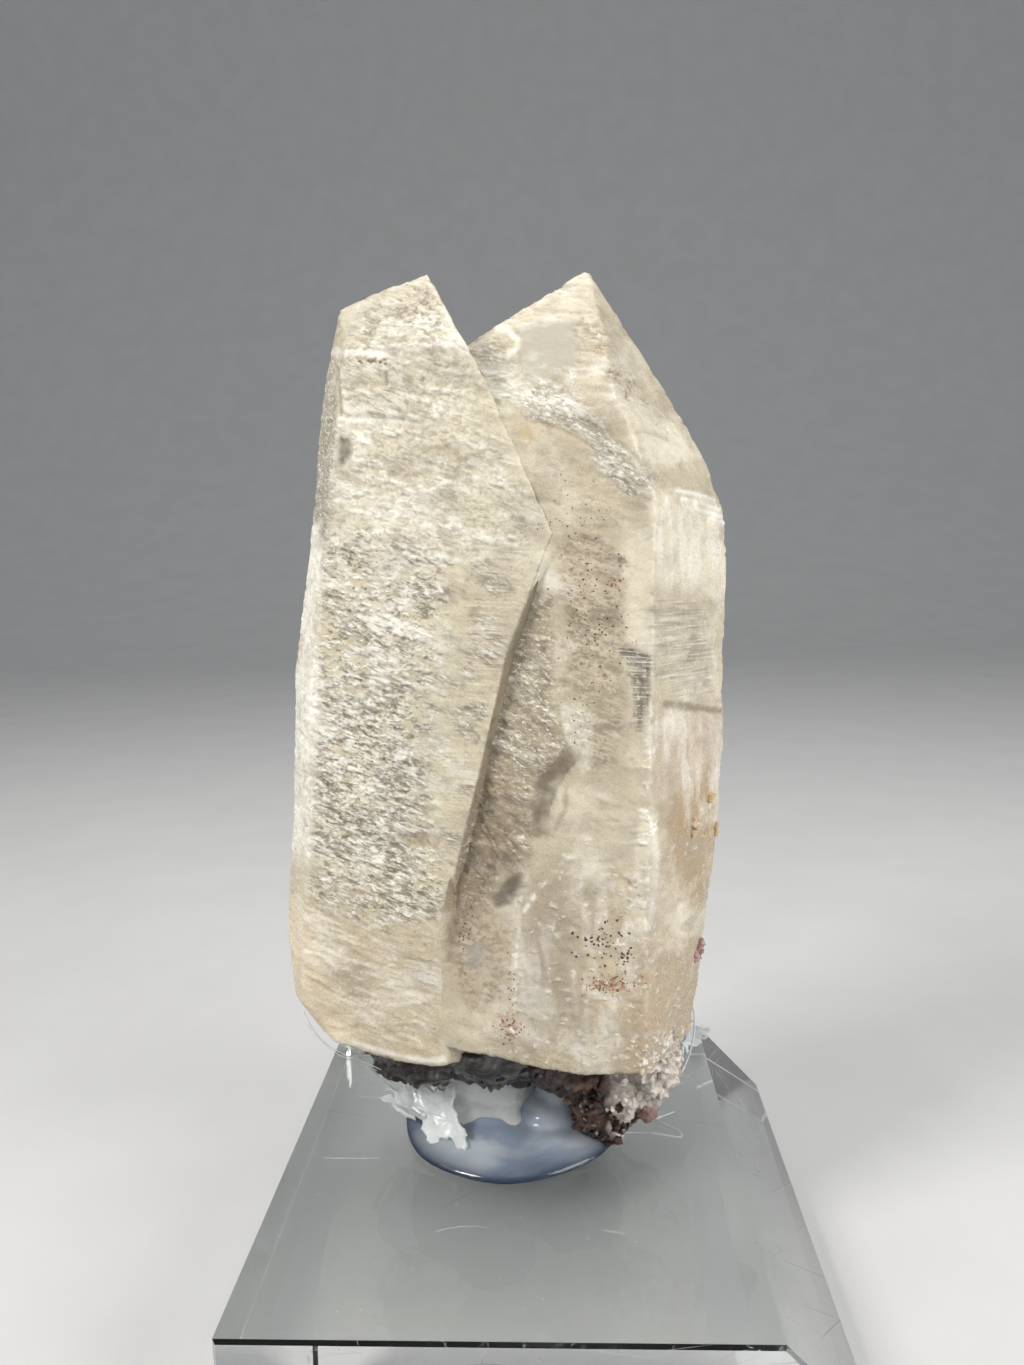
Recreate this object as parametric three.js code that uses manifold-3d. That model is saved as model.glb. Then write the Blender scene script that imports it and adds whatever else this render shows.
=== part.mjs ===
// Two quartz crystals grown side by side on a dark root, held by clear glue on a clear block.
// Millimetres, +Z up. The origin is under the middle of the block, and the broad crystal faces look along -Y.
import * as THREE from "three";
import { ConvexGeometry } from "three/addons/geometries/ConvexGeometry.js";
import { mergeVertices } from "three/addons/utils/BufferGeometryUtils.js";
import Module from "manifold-3d";

const wasm = await Module();
wasm.setup();

// Block
const BLOCK_SIDE = 63.5;
const BLOCK_HEIGHT = 12.7;
const BEVEL_WIDTH = 9.0;
const BEVEL_HEIGHT = 9.7;
const ARRIS = 0.35;

// Glue
const PUDDLE_CENTRE = [-4.5, 6.2];
const PUDDLE_RADIUS = 14.3;
const PUDDLE_HEIGHT = 1.7;
const POST_CENTRE = [-7.9, 8.6];
const POST_HALF_WIDTH = 6.6;
const POST_HALF_DEPTH = 5.6;
const POST_TOP = 21.6;
const JOINT_GAP = 0.3;

// Half sections of the glue from the middle outwards, as [radius, height] in shares of its own size.
const PUDDLE_SECTION = [
  [0, 0],
  [1, 0],
  [1, 0.12],
  [0.975, 0.42],
  [0.92, 0.66],
  [0.8, 0.85],
  [0.5, 0.97],
  [0, 1],
];
const POST_SECTION = [
  [0, 0.05],
  [1.32, 0.05],
  [1.18, 0.22],
  [1.03, 0.38],
  [0.98, 0.56],
  [1.02, 0.83],
  [0.9, 1],
  [0, 1],
];

// Torn flakes of glue: the corners of each, in the middle of its thickness.
const FLAKE_THICKNESS = 0.9;
const FLAKES = [
  [[-22, 4, 17], [-17.5, 5.6, 17.3], [-15.4, 1.8, 15.5], [-18.6, 2.4, 16]],
  [[-17.6, 5.6, 17.2], [-12, 6, 17.8], [-11.5, -1.6, 14], [-15.5, 1.7, 15.3]],
  [[-16.4, 9, 18.2], [-19.8, 10.5, 19], [-15, 12, 18.4], [-12, 10, 17.6]],
];

// Crystal angles: prism faces stand 60 degrees apart, and the front pair is turned a little to the left.
const FRONT_HEADING = -93;
const PRISM_STEP = 60;
const TIP_LEAN = 38.2;

// How far each small quartz point stands out of its lump, and how tall its tip is, in shares of its width.
const POINT_HEIGHT = 0.5;
const POINT_TIP = 0.62;

// Root: rough lumps of dark matrix under the crystals, each set with small quartz points.
// centre and radii give the lump, count and width its points.
const ROOT_SEED = 41;
const ROOT_LUMPS = [
  { centre: [-15, 5, 25], radii: [7.5, 8, 4.4], count: 22, width: 1.7 },
  { centre: [-6, 7.5, 24], radii: [9.5, 9.5, 4.8], count: 30, width: 2 },
  { centre: [3.5, 6, 23.5], radii: [7.5, 9, 5], count: 26, width: 1.9 },
  { centre: [6.9, 0.6, 17.9], radii: [3.6, 3.2, 4], count: 30, width: 1.3 },
  { centre: [11.5, 1.2, 18.6], radii: [1.8, 2, 1.9], count: 12, width: 1 },
  { centre: [13.6, -1.6, 25.4], radii: [3.4, 3.8, 4.4], count: 28, width: 1.5 },
];
const SIDE_CLUSTERS = [
  { centre: [21.6, 5, 51.2], radii: [0.7, 0.9, 1.5], count: 8, width: 0.7 },
  { centre: [19.6, 4, 36.2], radii: [0.9, 1.1, 1.9], count: 8, width: 0.9 },
];

const material = (color, roughness, opacity = 1) =>
  new THREE.MeshStandardMaterial({ color, roughness, metalness: 0, opacity, transparent: opacity < 1 });

const QUARTZ = material(0xd9d0b8, 0.45);
const GLUE = material(0xc6d0da, 0.25, 0.7);
const ACRYLIC = material(0xe8edf0, 0.06, 0.35);

const radians = THREE.MathUtils.degToRad;
const prismHeading = (step) => FRONT_HEADING + PRISM_STEP * step;

// A crystal face: its outward normal's heading from +X towards +Y, its lean above level, and a point on it.
function face(heading, lean, x, y, z) {
  const h = radians(heading);
  const l = radians(lean);
  const normal = new THREE.Vector3(Math.cos(h) * Math.cos(l), Math.sin(h) * Math.cos(l), Math.sin(l));
  return new THREE.Plane().setFromNormalAndCoplanarPoint(normal, new THREE.Vector3(x, y, z));
}

// The corner where three faces meet, or null where they don't.
function corner(a, b, c) {
  const bc = new THREE.Vector3().crossVectors(b.normal, c.normal);
  const det = a.normal.dot(bc);
  if (Math.abs(det) < 1e-6) return null;
  return bc
    .multiplyScalar(-a.constant)
    .addScaledVector(new THREE.Vector3().crossVectors(c.normal, a.normal), -b.constant)
    .addScaledVector(new THREE.Vector3().crossVectors(a.normal, b.normal), -c.constant)
    .divideScalar(det);
}

// The solid inside all the faces.
function crystal(faces) {
  const corners = [];
  const isNew = (p) => corners.every((q) => q.distanceTo(p) > 1e-3);
  faces.forEach((a, i) =>
    faces.slice(i + 1).forEach((b, j) =>
      faces.slice(i + j + 2).forEach((c) => {
        const p = corner(a, b, c);
        if (p && faces.every((f) => f.distanceToPoint(p) < 1e-4) && isNew(p)) corners.push(p);
      }),
    ),
  );
  return solid(new ConvexGeometry(corners));
}

// A closed geometry as a solid that can be joined and cut.
function solid(geometry) {
  const bare = geometry.clone();
  bare.deleteAttribute("normal");
  bare.deleteAttribute("uv");
  const merged = mergeVertices(bare, 1e-4);
  return new wasm.Manifold(
    new wasm.Mesh({
      numProp: 3,
      vertProperties: merged.attributes.position.array,
      triVerts: new Uint32Array(merged.index.array),
    }),
  );
}

// The convex solid round some points.
const hull = (points) => solid(new ConvexGeometry(points));

const join = (solids) => solids.reduce((whole, s) => whole.add(s));

function mesh(name, body, look) {
  const { vertProperties, triVerts } = body.getMesh();
  const geometry = new THREE.BufferGeometry()
    .setAttribute("position", new THREE.BufferAttribute(vertProperties, 3))
    .setIndex(new THREE.BufferAttribute(triVerts, 1));
  geometry.computeVertexNormals();
  const made = new THREE.Mesh(geometry, look);
  made.name = name;
  return made;
}

// Numbers between 0 and 1, the same on each run.
function dice(seed) {
  let state = seed;
  return () => {
    state = (state * 1664525 + 1013904223) % 4294967296;
    return state / 4294967296;
  };
}

// The clear block: square, with a wide slope along its right-hand side.
function block() {
  const half = BLOCK_SIDE / 2;
  const section = new THREE.Shape([
    new THREE.Vector2(-half, 0),
    new THREE.Vector2(half, 0),
    new THREE.Vector2(half, BLOCK_HEIGHT - BEVEL_HEIGHT),
    new THREE.Vector2(half - BEVEL_WIDTH, BLOCK_HEIGHT),
    new THREE.Vector2(-half, BLOCK_HEIGHT),
  ]);
  const geometry = new THREE.ExtrudeGeometry(section, {
    depth: BLOCK_SIDE - 2 * ARRIS,
    bevelThickness: ARRIS,
    bevelSize: ARRIS,
    bevelOffset: -ARRIS,
    bevelSegments: 1,
  });
  geometry.translate(0, 0, ARRIS - half).rotateX(Math.PI / 2);
  return solid(geometry);
}

// The place on a face that has this x and z.
function onFace(plane, x, z) {
  const y = -(plane.constant + plane.normal.x * x + plane.normal.z * z) / plane.normal.y;
  return new THREE.Vector3(x, y, z);
}

// Two rings of points: an outline [x, z] on a face, lifted by outer, and the same drawn in and lifted by inner.
function tapered(plane, outline, outer, inner, drawIn) {
  const ring = outline.map(([x, z]) => onFace(plane, x, z));
  const middle = ring.reduce((sum, p) => sum.add(p), new THREE.Vector3()).divideScalar(ring.length);
  const lifted = (p, height) => p.clone().addScaledVector(plane.normal, height);
  return hull([
    ...ring.map((p) => lifted(p, outer)),
    ...ring.map((p) => lifted(p.clone().lerp(middle, drawIn), inner)),
  ]);
}

// A growth plate that stands proud of a face, and a pit sunk in one.
const plate = (plane, outline, height) => tapered(plane, outline, -1, height, 0.08);
const pit = (plane, outline, depth) => tapered(plane, outline, 1, -depth, 0.2);

// The left-hand crystal: broad, about 18 mm thick, with its front face unbroken up to the tip.
const LEFT_FRONT = face(prismHeading(0), 0.6, -12, -7.5, 60);
const LEFT_FRONT_STRIP = face(prismHeading(-1), 6.8, -28.2, 0, 60);

const LEFT_FACES = [
  LEFT_FRONT,
  LEFT_FRONT_STRIP,
  // the rest of the prism, round by the left
  face(prismHeading(-2), 6.4, -28.2, 0, 60),
  face(prismHeading(3), -1, -12, 11.2, 60),
  face(prismHeading(2), 2, 2, 8, 60),
  // the tip: towards the notch, the front, the back and the left
  face(5, 23.5, -10.7, -1, 117),
  face(prismHeading(0), TIP_LEAN, -12, -7, 108.2),
  face(125, TIP_LEAN, -11, 0, 117.1),
  face(-170, 14, -21, 0, 113),
  // the foot, from the left round to the front
  face(-168, -24, -30.2, -1, 40.5),
  face(-150, -52, -28.2, -4, 33.4),
  face(-118, -71, -20, -7, 28.6),
  face(-80, -68, -12, -7.8, 27.6),
];

// The side towards the right-hand crystal leans under, and stands upright at the foot.
const LEFT_SIDE = face(prismHeading(1), -14.4, -7, -7.8, 59.2);
const LEFT_FOOT_SIDE = face(prismHeading(1), -2, -10.9, -7.8, 37);

function leftCrystal() {
  const whole = crystal([...LEFT_FACES, LEFT_SIDE]).add(crystal([...LEFT_FACES, LEFT_FOOT_SIDE]));
  const terrace = [
    [-18.6, 107.2],
    [-13.1, 107],
    [-13, 100.8],
    [-18.9, 101],
  ];
  const notch = [
    [-22.4, 99.6],
    [-20.1, 99.2],
    [-19.1, 96],
    [-22.6, 95.4],
  ];
  return whole.add(plate(LEFT_FRONT, terrace, 0.35)).subtract(pit(LEFT_FRONT, notch, 0.7));
}

// The right-hand crystal: a six-sided prism with steep tip faces on its right.
const RIGHT_FRONT = face(prismHeading(0), -2.5, 6, -7.4, 88);
const RIGHT_SIDE = face(-36, -0.8, 22.8, 6.2, 76);
const RIGHT_TIP_FRONT = face(prismHeading(0), TIP_LEAN, 6.8, 5, 117.3);

const RIGHT_FACES = [
  RIGHT_FRONT,
  RIGHT_SIDE,
  // the rest of the prism, round by the back
  face(prismHeading(2), -0.8, 22.8, 6.2, 76),
  face(prismHeading(3), 0.5, 6, 19.6, 60),
  face(prismHeading(-2), 1, -10.8, 6, 60),
  face(prismHeading(-1), 1, -17, 6, 60),
  // the tip: the front, towards the notch and the back
  RIGHT_TIP_FRONT,
  face(142, TIP_LEAN, 5.4, 5, 117.2),
  face(prismHeading(3), 40, 6.4, 6, 117.2),
  // the steep tip faces on the right, in two steps
  face(prismHeading(1), 28.5, 12.3, 5, 108.8),
  face(prismHeading(2), 28.5, 12.3, 5, 108.8),
  face(prismHeading(1), 18, 22.2, 5.4, 91.2),
  face(prismHeading(2), 18, 22.2, 5.4, 91.2),
  // the taper to the root on the right
  face(-26, -7, 22.8, 5.8, 56),
  face(38, -5.5, 22.6, 5.6, 58),
  // the foot: the front, the right and the back
  face(-96, -72, 4, -6, 25.6),
  face(-30, -50, 18.2, 3, 26.6),
  face(110, -55, 0, 17, 32),
];

// The hollow beside the left-hand crystal: deepest along that crystal's side, running out to the right.
function valley() {
  const rim = [
    [2.6, 86.5],
    [4.6, 76.6],
    [4.9, 65.4],
    [2.6, 58.5],
    [-1, 50.2],
    [-9.5, 46.5],
  ];
  const bed = [
    [-1, 80],
    [-4.5, 68],
    [-7, 57],
    [-9.5, 50],
  ];
  const lift = (outline, height) =>
    outline.map(([x, z]) => onFace(RIGHT_FRONT, x, z).addScaledVector(RIGHT_FRONT.normal, height));
  return hull([...lift(rim, 0), ...lift(bed, -2), ...lift(rim, 2), ...lift(bed, 2)]);
}

function rightCrystal() {
  const shield = [
    [0.8, 48.8],
    [-2.1, 45.7],
    [-3.4, 34],
    [-3, 28],
    [6, 26],
    [11.4, 32],
    [12.2, 46],
    [10.6, 54.6],
    [6, 53.8],
  ];
  const tongue = [
    [2.8, 69.4],
    [4.6, 67],
    [5.2, 60],
    [2.2, 50.2],
    [1, 54],
    [2.4, 61],
  ];
  const window = [
    [-1.8, 111.6],
    [4.4, 111.8],
    [3.8, 104.6],
    [-0.6, 104.4],
  ];
  const lens = [
    [11.2, 57.4],
    [14, 55.4],
    [14.2, 46.6],
    [11.2, 43.6],
    [10.4, 50],
  ];
  return crystal(RIGHT_FACES)
    .subtract(valley())
    .add(plate(RIGHT_FRONT, shield, 0.7))
    .add(plate(RIGHT_FRONT, tongue, 0.7))
    .add(plate(RIGHT_TIP_FRONT, window, 0.35))
    .subtract(pit(RIGHT_FRONT, lens, 0.6));
}

// A rough lump: a ball of flat facets, each corner moved in or out by up to an eighth.
function lump({ centre, radii }, roll) {
  const ball = new THREE.IcosahedronGeometry(1, 1);
  ball.deleteAttribute("normal");
  ball.deleteAttribute("uv");
  const merged = mergeVertices(ball, 1e-4);
  const position = merged.attributes.position;
  const p = new THREE.Vector3();
  for (let i = 0; i < position.count; i++) {
    p.fromBufferAttribute(position, i).multiplyScalar(1 + (roll() - 0.5) / 4);
    position.setXYZ(i, p.x, p.y, p.z);
  }
  merged.scale(...radii).translate(...centre);
  return solid(merged);
}

// One small six-sided quartz point, standing on base along direction.
function quartzPoint(base, direction, width) {
  const profile = [
    new THREE.Vector2(0, -width),
    new THREE.Vector2(width / 2, -width),
    new THREE.Vector2(width / 2, width * (POINT_HEIGHT - POINT_TIP)),
    new THREE.Vector2(0, width * POINT_HEIGHT),
  ];
  const geometry = new THREE.LatheGeometry(profile, 6);
  const turn = new THREE.Quaternion().setFromUnitVectors(new THREE.Vector3(0, 1, 0), direction);
  geometry.applyQuaternion(turn).translate(base.x, base.y, base.z);
  return solid(geometry);
}

// A lump with its quartz points, which look outwards and mostly down or to the sides.
function cluster(place, roll) {
  const { centre, radii, count, width } = place;
  const points = Array.from({ length: count }, (_, i) => {
    const down = -0.75 + (1.1 * (i + roll())) / count;
    const turn = i * 2.4 + roll() * 0.7;
    const flat = Math.sqrt(1 - down * down);
    const direction = new THREE.Vector3(Math.cos(turn) * flat, Math.sin(turn) * flat, down);
    const base = direction.clone().multiply(new THREE.Vector3(...radii)).multiplyScalar(0.94);
    base.add(new THREE.Vector3(...centre));
    return quartzPoint(base, direction, width * (0.75 + 0.6 * roll()));
  });
  return join([lump(place, roll), ...points]);
}

// A round of glue on the block, from its half section.
function turned(section, sides, [x, y], halfWidth, halfDepth, height) {
  const geometry = new THREE.LatheGeometry(section.map(([r, h]) => new THREE.Vector2(r, h)), sides);
  geometry.rotateX(Math.PI / 2).scale(halfWidth, halfDepth, height);
  return solid(geometry.translate(x, y, BLOCK_HEIGHT));
}

// Puddle, post and torn flakes, all swollen by gap.
function glue(gap) {
  const rim = PUDDLE_RADIUS + gap;
  const puddle = turned(PUDDLE_SECTION, 48, PUDDLE_CENTRE, rim, rim, PUDDLE_HEIGHT + gap);
  const post = turned(
    POST_SECTION,
    28,
    POST_CENTRE,
    POST_HALF_WIDTH + gap,
    POST_HALF_DEPTH + gap,
    POST_TOP - BLOCK_HEIGHT + gap,
  );
  const rise = FLAKE_THICKNESS / 2 + gap;
  const flake = (corners) =>
    hull(corners.flatMap(([x, y, z]) => [z - rise, z + rise].map((height) => new THREE.Vector3(x, y, height))));
  return join([puddle, post, ...FLAKES.map(flake)]);
}

// The foot of the front between the crystals, broken away so that the root shows.
function footHollow() {
  const outline = [
    [-11, 22],
    [-10.4, 27],
    [-7.5, 28],
    [-2.6, 27.9],
    [-0.6, 26.8],
    [0, 22],
  ];
  return pit(RIGHT_FRONT, outline, 2.5);
}

// The crystals with their root, cut clear of the glue and of the block.
function specimen() {
  const roll = dice(ROOT_SEED);
  const grown = join([
    leftCrystal().add(rightCrystal()).subtract(footHollow()),
    ...ROOT_LUMPS.map((place) => cluster(place, roll)),
    ...SIDE_CLUSTERS.map((place) => cluster(place, roll)),
  ]);
  return grown.subtract(glue(JOINT_GAP));
}

const group = new THREE.Group();
group.add(mesh("acrylic_stand", block(), ACRYLIC));
group.add(mesh("hot_glue_mount", glue(0), GLUE));
group.add(mesh("quartz_crystals", specimen(), QUARTZ));

export default group;
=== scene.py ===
"""Two milky quartz crystals on a dark root, glued to a clear block: their looks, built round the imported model."""
import logging
import math
import random
from collections.abc import Iterable, Sequence
from dataclasses import dataclass, field
from enum import Enum

import bmesh
import bpy
import numpy as np
from mathutils import Euler, Matrix, Vector, noise
from mathutils.bvhtree import BVHTree
from mathutils.kdtree import KDTree


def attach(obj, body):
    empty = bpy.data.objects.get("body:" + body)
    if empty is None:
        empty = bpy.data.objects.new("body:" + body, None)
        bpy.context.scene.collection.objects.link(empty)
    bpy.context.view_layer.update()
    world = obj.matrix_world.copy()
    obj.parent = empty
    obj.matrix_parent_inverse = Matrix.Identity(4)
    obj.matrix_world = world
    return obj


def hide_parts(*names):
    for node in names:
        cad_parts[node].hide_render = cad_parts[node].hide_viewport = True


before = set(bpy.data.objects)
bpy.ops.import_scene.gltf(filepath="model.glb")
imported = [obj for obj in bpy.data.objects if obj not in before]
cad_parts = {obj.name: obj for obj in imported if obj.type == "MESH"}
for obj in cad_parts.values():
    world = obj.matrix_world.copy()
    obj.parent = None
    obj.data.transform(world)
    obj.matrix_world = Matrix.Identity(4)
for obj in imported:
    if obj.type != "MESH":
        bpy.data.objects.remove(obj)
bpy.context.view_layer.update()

MM = 0.001
BODY = "root"
LOG = logging.getLogger("specimen")

Point = tuple[float, float, float]
Colour = tuple[float, float, float]
Outline = tuple[tuple[float, float], ...]

# The viewpoint in front, and the plane of the broad faces on which the surface marks are laid out.
EYE = (3.036, -118.226, 88.124)
FRONT = -7.6


class Slot(Enum):
    """The names of the material slots."""

    QUARTZ = "quartz"
    GLUE = "glue"
    ACRYLIC = "acrylic"


class Kind(Enum):
    """The shapes that a texture's marks take."""

    WAVES = "waves"
    LINES = "lines"
    GRAINS = "grains"


# Shader nodes


class Shader:
    """One material's node tree, with short calls for the nodes that the finishes use."""

    def __init__(self, name: str) -> None:
        """Makes the material with its Principled shader and Object coordinates.

        Args:
            name: The material's name.
        """
        self.material = bpy.data.materials.new(name)
        self.material.use_nodes = True
        self.tree = self.material.node_tree
        self.surface = self.tree.nodes["Principled BSDF"]
        self.place = self.tree.nodes.new("ShaderNodeTexCoord").outputs["Object"]

    def node(self, kind: str, **settings: object) -> bpy.types.Node:
        """Adds one node.

        Args:
            kind: The node's type.
            settings: Its plain properties.

        Returns:
            The node.
        """
        made = self.tree.nodes.new(kind)
        for name, value in settings.items():
            setattr(made, name, value)
        return made

    def feed(self, socket: bpy.types.NodeSocket, value: object) -> None:
        """Joins a socket to another, or sets its value.

        Args:
            socket: The input.
            value: An output socket, or a plain value.
        """
        if isinstance(value, bpy.types.NodeSocket):
            self.tree.links.new(value, socket)
        elif isinstance(value, tuple) and len(value) == 3 and len(socket.default_value) == 4:
            socket.default_value = (*value, 1.0)
        else:
            socket.default_value = value

    def set(self, **inputs: object) -> None:
        """Sets or joins the Principled shader's inputs.

        Args:
            inputs: Input names with _ for each space, and their values or sockets.
        """
        for name, value in inputs.items():
            self.feed(self.surface.inputs[name.replace("_", " ")], value)

    def stretched(self, per_metre: Point, turn: Point) -> bpy.types.NodeSocket:
        """Object coordinates turned and stretched.

        Args:
            per_metre: The pattern's repeats per metre along x, y and z.
            turn: The turn about x, y and z, in degrees.

        Returns:
            The vector socket.
        """
        turned = self.node("ShaderNodeMapping")
        self.feed(turned.inputs["Vector"], self.place)
        turned.inputs["Rotation"].default_value = [math.radians(a) for a in turn]
        scaled = self.node("ShaderNodeMapping")
        self.feed(scaled.inputs["Vector"], turned.outputs["Vector"])
        scaled.inputs["Scale"].default_value = per_metre
        return scaled.outputs["Vector"]

    def noise(
        self,
        per_metre: Point,
        turn: Point = (0, 0, 0),
        detail: float = 4.0,
        rough: float = 0.55,
        warp: float = 0.0,
    ) -> bpy.types.NodeSocket:
        """Fractal noise on stretched Object coordinates.

        Args:
            per_metre: Repeats per metre along x, y and z.
            turn: The turn about x, y and z, in degrees.
            detail: How many finer layers it has.
            rough: How strong those are.
            warp: How much it is distorted.

        Returns:
            The value socket, about 0.5 in the middle.
        """
        made = self.node("ShaderNodeTexNoise")
        self.feed(made.inputs["Vector"], self.stretched(per_metre, turn))
        made.inputs["Scale"].default_value = 1.0
        made.inputs["Detail"].default_value = detail
        made.inputs["Roughness"].default_value = rough
        made.inputs["Distortion"].default_value = warp
        return made.outputs["Fac"]

    def between(
        self, value: object, low: float, high: float, to_low: float = 0.0, to_high: float = 1.0
    ) -> bpy.types.NodeSocket:
        """Maps a range smoothly to another, and holds it there.

        Args:
            value: The value or socket.
            low: The value that becomes to_low.
            high: The value that becomes to_high.
            to_low: The first result.
            to_high: The last result.

        Returns:
            The result's socket.
        """
        made = self.node("ShaderNodeMapRange", interpolation_type="SMOOTHSTEP")
        names = ("Value", "From Min", "From Max", "To Min", "To Max")
        for name, number in zip(names, (value, low, high, to_low, to_high)):
            self.feed(made.inputs[name], number)
        return made.outputs["Result"]

    def math(self, operation: str, *values: object) -> bpy.types.NodeSocket:
        """One operation on several values, taken in turn.

        Args:
            operation: The Math node's operation.
            values: The values or sockets.

        Returns:
            The result's socket.
        """
        result = values[0]
        for value in values[1:]:
            made = self.node("ShaderNodeMath", operation=operation)
            self.feed(made.inputs[0], result)
            self.feed(made.inputs[1], value)
            result = made.outputs[0]
        return result

    def times(self, *values: object) -> bpy.types.NodeSocket:
        """The product of several values or sockets."""
        return self.math("MULTIPLY", *values)

    def plus(self, *values: object) -> bpy.types.NodeSocket:
        """The sum of several values or sockets."""
        return self.math("ADD", *values)

    def mix(self, share: object, a: object, b: object, blend: str = "MIX") -> bpy.types.NodeSocket:
        """A colour made of two.

        Args:
            share: How much of b there is, from 0 to 1.
            a: The first colour or socket.
            b: The second colour or socket.
            blend: How b is laid on a.

        Returns:
            The colour socket.
        """
        made = self.node("ShaderNodeMix", data_type="RGBA", blend_type=blend, clamp_factor=True)
        self.feed(made.inputs[0], share)
        self.feed(made.inputs[6], a)
        self.feed(made.inputs[7], b)
        return made.outputs[2]

    def painted(self, name: str) -> bpy.types.NodeSocket:
        """The colour of a painted attribute."""
        return self.node("ShaderNodeAttribute", attribute_name=name).outputs["Color"]

    def height(self) -> bpy.types.NodeSocket:
        """The height over the row frame's floor, in metres."""
        split = self.node("ShaderNodeSeparateXYZ")
        self.feed(split.inputs[0], self.place)
        return split.outputs[2]

    def channels(self, colour: bpy.types.NodeSocket) -> list[bpy.types.NodeSocket]:
        """The three channels of a colour."""
        split = self.node("ShaderNodeSeparateColor")
        self.feed(split.inputs[0], colour)
        return list(split.outputs)

    def bump(self, height: object, depth: float) -> bpy.types.NodeSocket:
        """A normal for relief that is too fine for the mesh.

        Args:
            height: The height socket, from 0 to 1.
            depth: The height of 1, in millimetres.

        Returns:
            The normal socket.
        """
        made = self.node("ShaderNodeBump")
        made.inputs["Distance"].default_value = depth * MM
        self.feed(made.inputs["Height"], height)
        return made.outputs["Normal"]


# Finishes


@dataclass(frozen=True)
class QuartzFinish:
    """Natural quartz: the painted body colour with a fine grain, its gloss and its clearness painted too."""

    name: str
    tan: Colour = (0.40, 0.345, 0.26)
    frost: Colour = (0.93, 0.91, 0.83)
    pit: Colour = (0.22, 0.185, 0.135)
    subsurface: float = 0.2
    index: float = 1.544

    def make(self) -> bpy.types.Material:
        """Builds the material."""
        s = Shader(self.name)
        frost, clear, dull = s.channels(s.painted("gloss"))
        hairs, sparkle, _ = s.channels(s.painted("fine"))
        tint = s.painted("tint")
        flecks = s.noise((700, 700, 2300), (0, -22, 0), detail=6, rough=0.7, warp=0.5)
        grain = s.noise((3000, 3000, 3800), detail=5, rough=0.7)
        clouds = s.noise((120, 120, 150), detail=5, rough=0.65, warp=0.6)
        lines = s.noise((150, 150, 4200), (0, -4, 0), detail=4, rough=0.6, warp=0.4)
        chips = s.noise((1500, 1500, 3400), (0, -24, 0), detail=4, rough=0.6, warp=0.6)
        etched = s.between(frost, 0.25, 1.0)
        pale, _, _ = s.channels(tint)
        tint = s.mix(s.times(s.between(clouds, 0.50, 0.38), 0.28), tint, self.tan)
        tint = s.mix(s.times(s.between(clouds, 0.54, 0.66), pale, 0.5), tint, self.frost)
        tint = s.mix(s.times(s.between(flecks, 0.49, 0.40), s.between(frost, 0.0, 0.5, 0.05, 0.3)), tint, self.tan)
        tint = s.mix(s.times(s.between(flecks, 0.48, 0.42), etched, 0.9), tint, self.pit)
        tint = s.mix(s.times(s.between(flecks, 0.51, 0.57), etched, 0.8), tint, self.frost)
        tint = s.mix(s.times(s.between(grain, 0.44, 0.38), s.between(frost, 0.0, 1.0, 0.1, 0.4)), tint, self.tan)
        tint = s.mix(s.times(s.between(lines, 0.47, 0.40), hairs, 0.7), tint, self.pit)
        tint = s.mix(s.times(s.between(lines, 0.55, 0.62), hairs, 0.6), tint, self.frost)
        tint = s.mix(s.times(s.between(chips, 0.45, 0.38), sparkle, 0.65), tint, self.pit)
        tint = s.mix(s.times(s.between(chips, 0.56, 0.62), sparkle, 0.95), tint, self.frost)
        relief = s.plus(
            s.times(flecks, s.between(frost, 0.0, 1.0, 0.12, 1.2)),
            s.times(grain, s.between(frost, 0.0, 1.0, 0.2, 0.5)),
            s.times(lines, hairs, 0.4),
            s.times(chips, sparkle, 1.2),
        )
        s.set(
            Base_Color=tint,
            Roughness=s.plus(s.between(dull, 0.0, 1.0, 0.12, 0.6), s.times(s.between(grain, 0.4, 0.62), 0.1)),
            IOR=self.index,
            Transmission_Weight=s.between(clear, 0.0, 1.0, 0.03, 0.6),
            Subsurface_Weight=self.subsurface,
            Subsurface_Radius=(1.0, 0.85, 0.6),
            Subsurface_Scale=0.8 * MM,
            Normal=s.bump(relief, 0.2),
        )
        return s.material


@dataclass(frozen=True)
class PointFinish:
    """The small late quartz points: glassy and tinted."""

    name: str
    deep: Colour
    light: Colour
    transmission: float
    roughness: float = 0.1
    index: float = 1.544

    def make(self) -> bpy.types.Material:
        """Builds the material."""
        s = Shader(self.name)
        clouds = s.noise((380, 380, 380), detail=3, rough=0.6)
        grain = s.noise((1800, 1800, 1800), detail=3)
        s.set(
            Base_Color=s.mix(s.between(clouds, 0.38, 0.62), self.deep, self.light),
            Roughness=s.between(grain, 0.3, 0.7, self.roughness, self.roughness + 0.18),
            IOR=self.index,
            Transmission_Weight=self.transmission,
            Normal=s.bump(grain, 0.06),
        )
        return s.material


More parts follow.
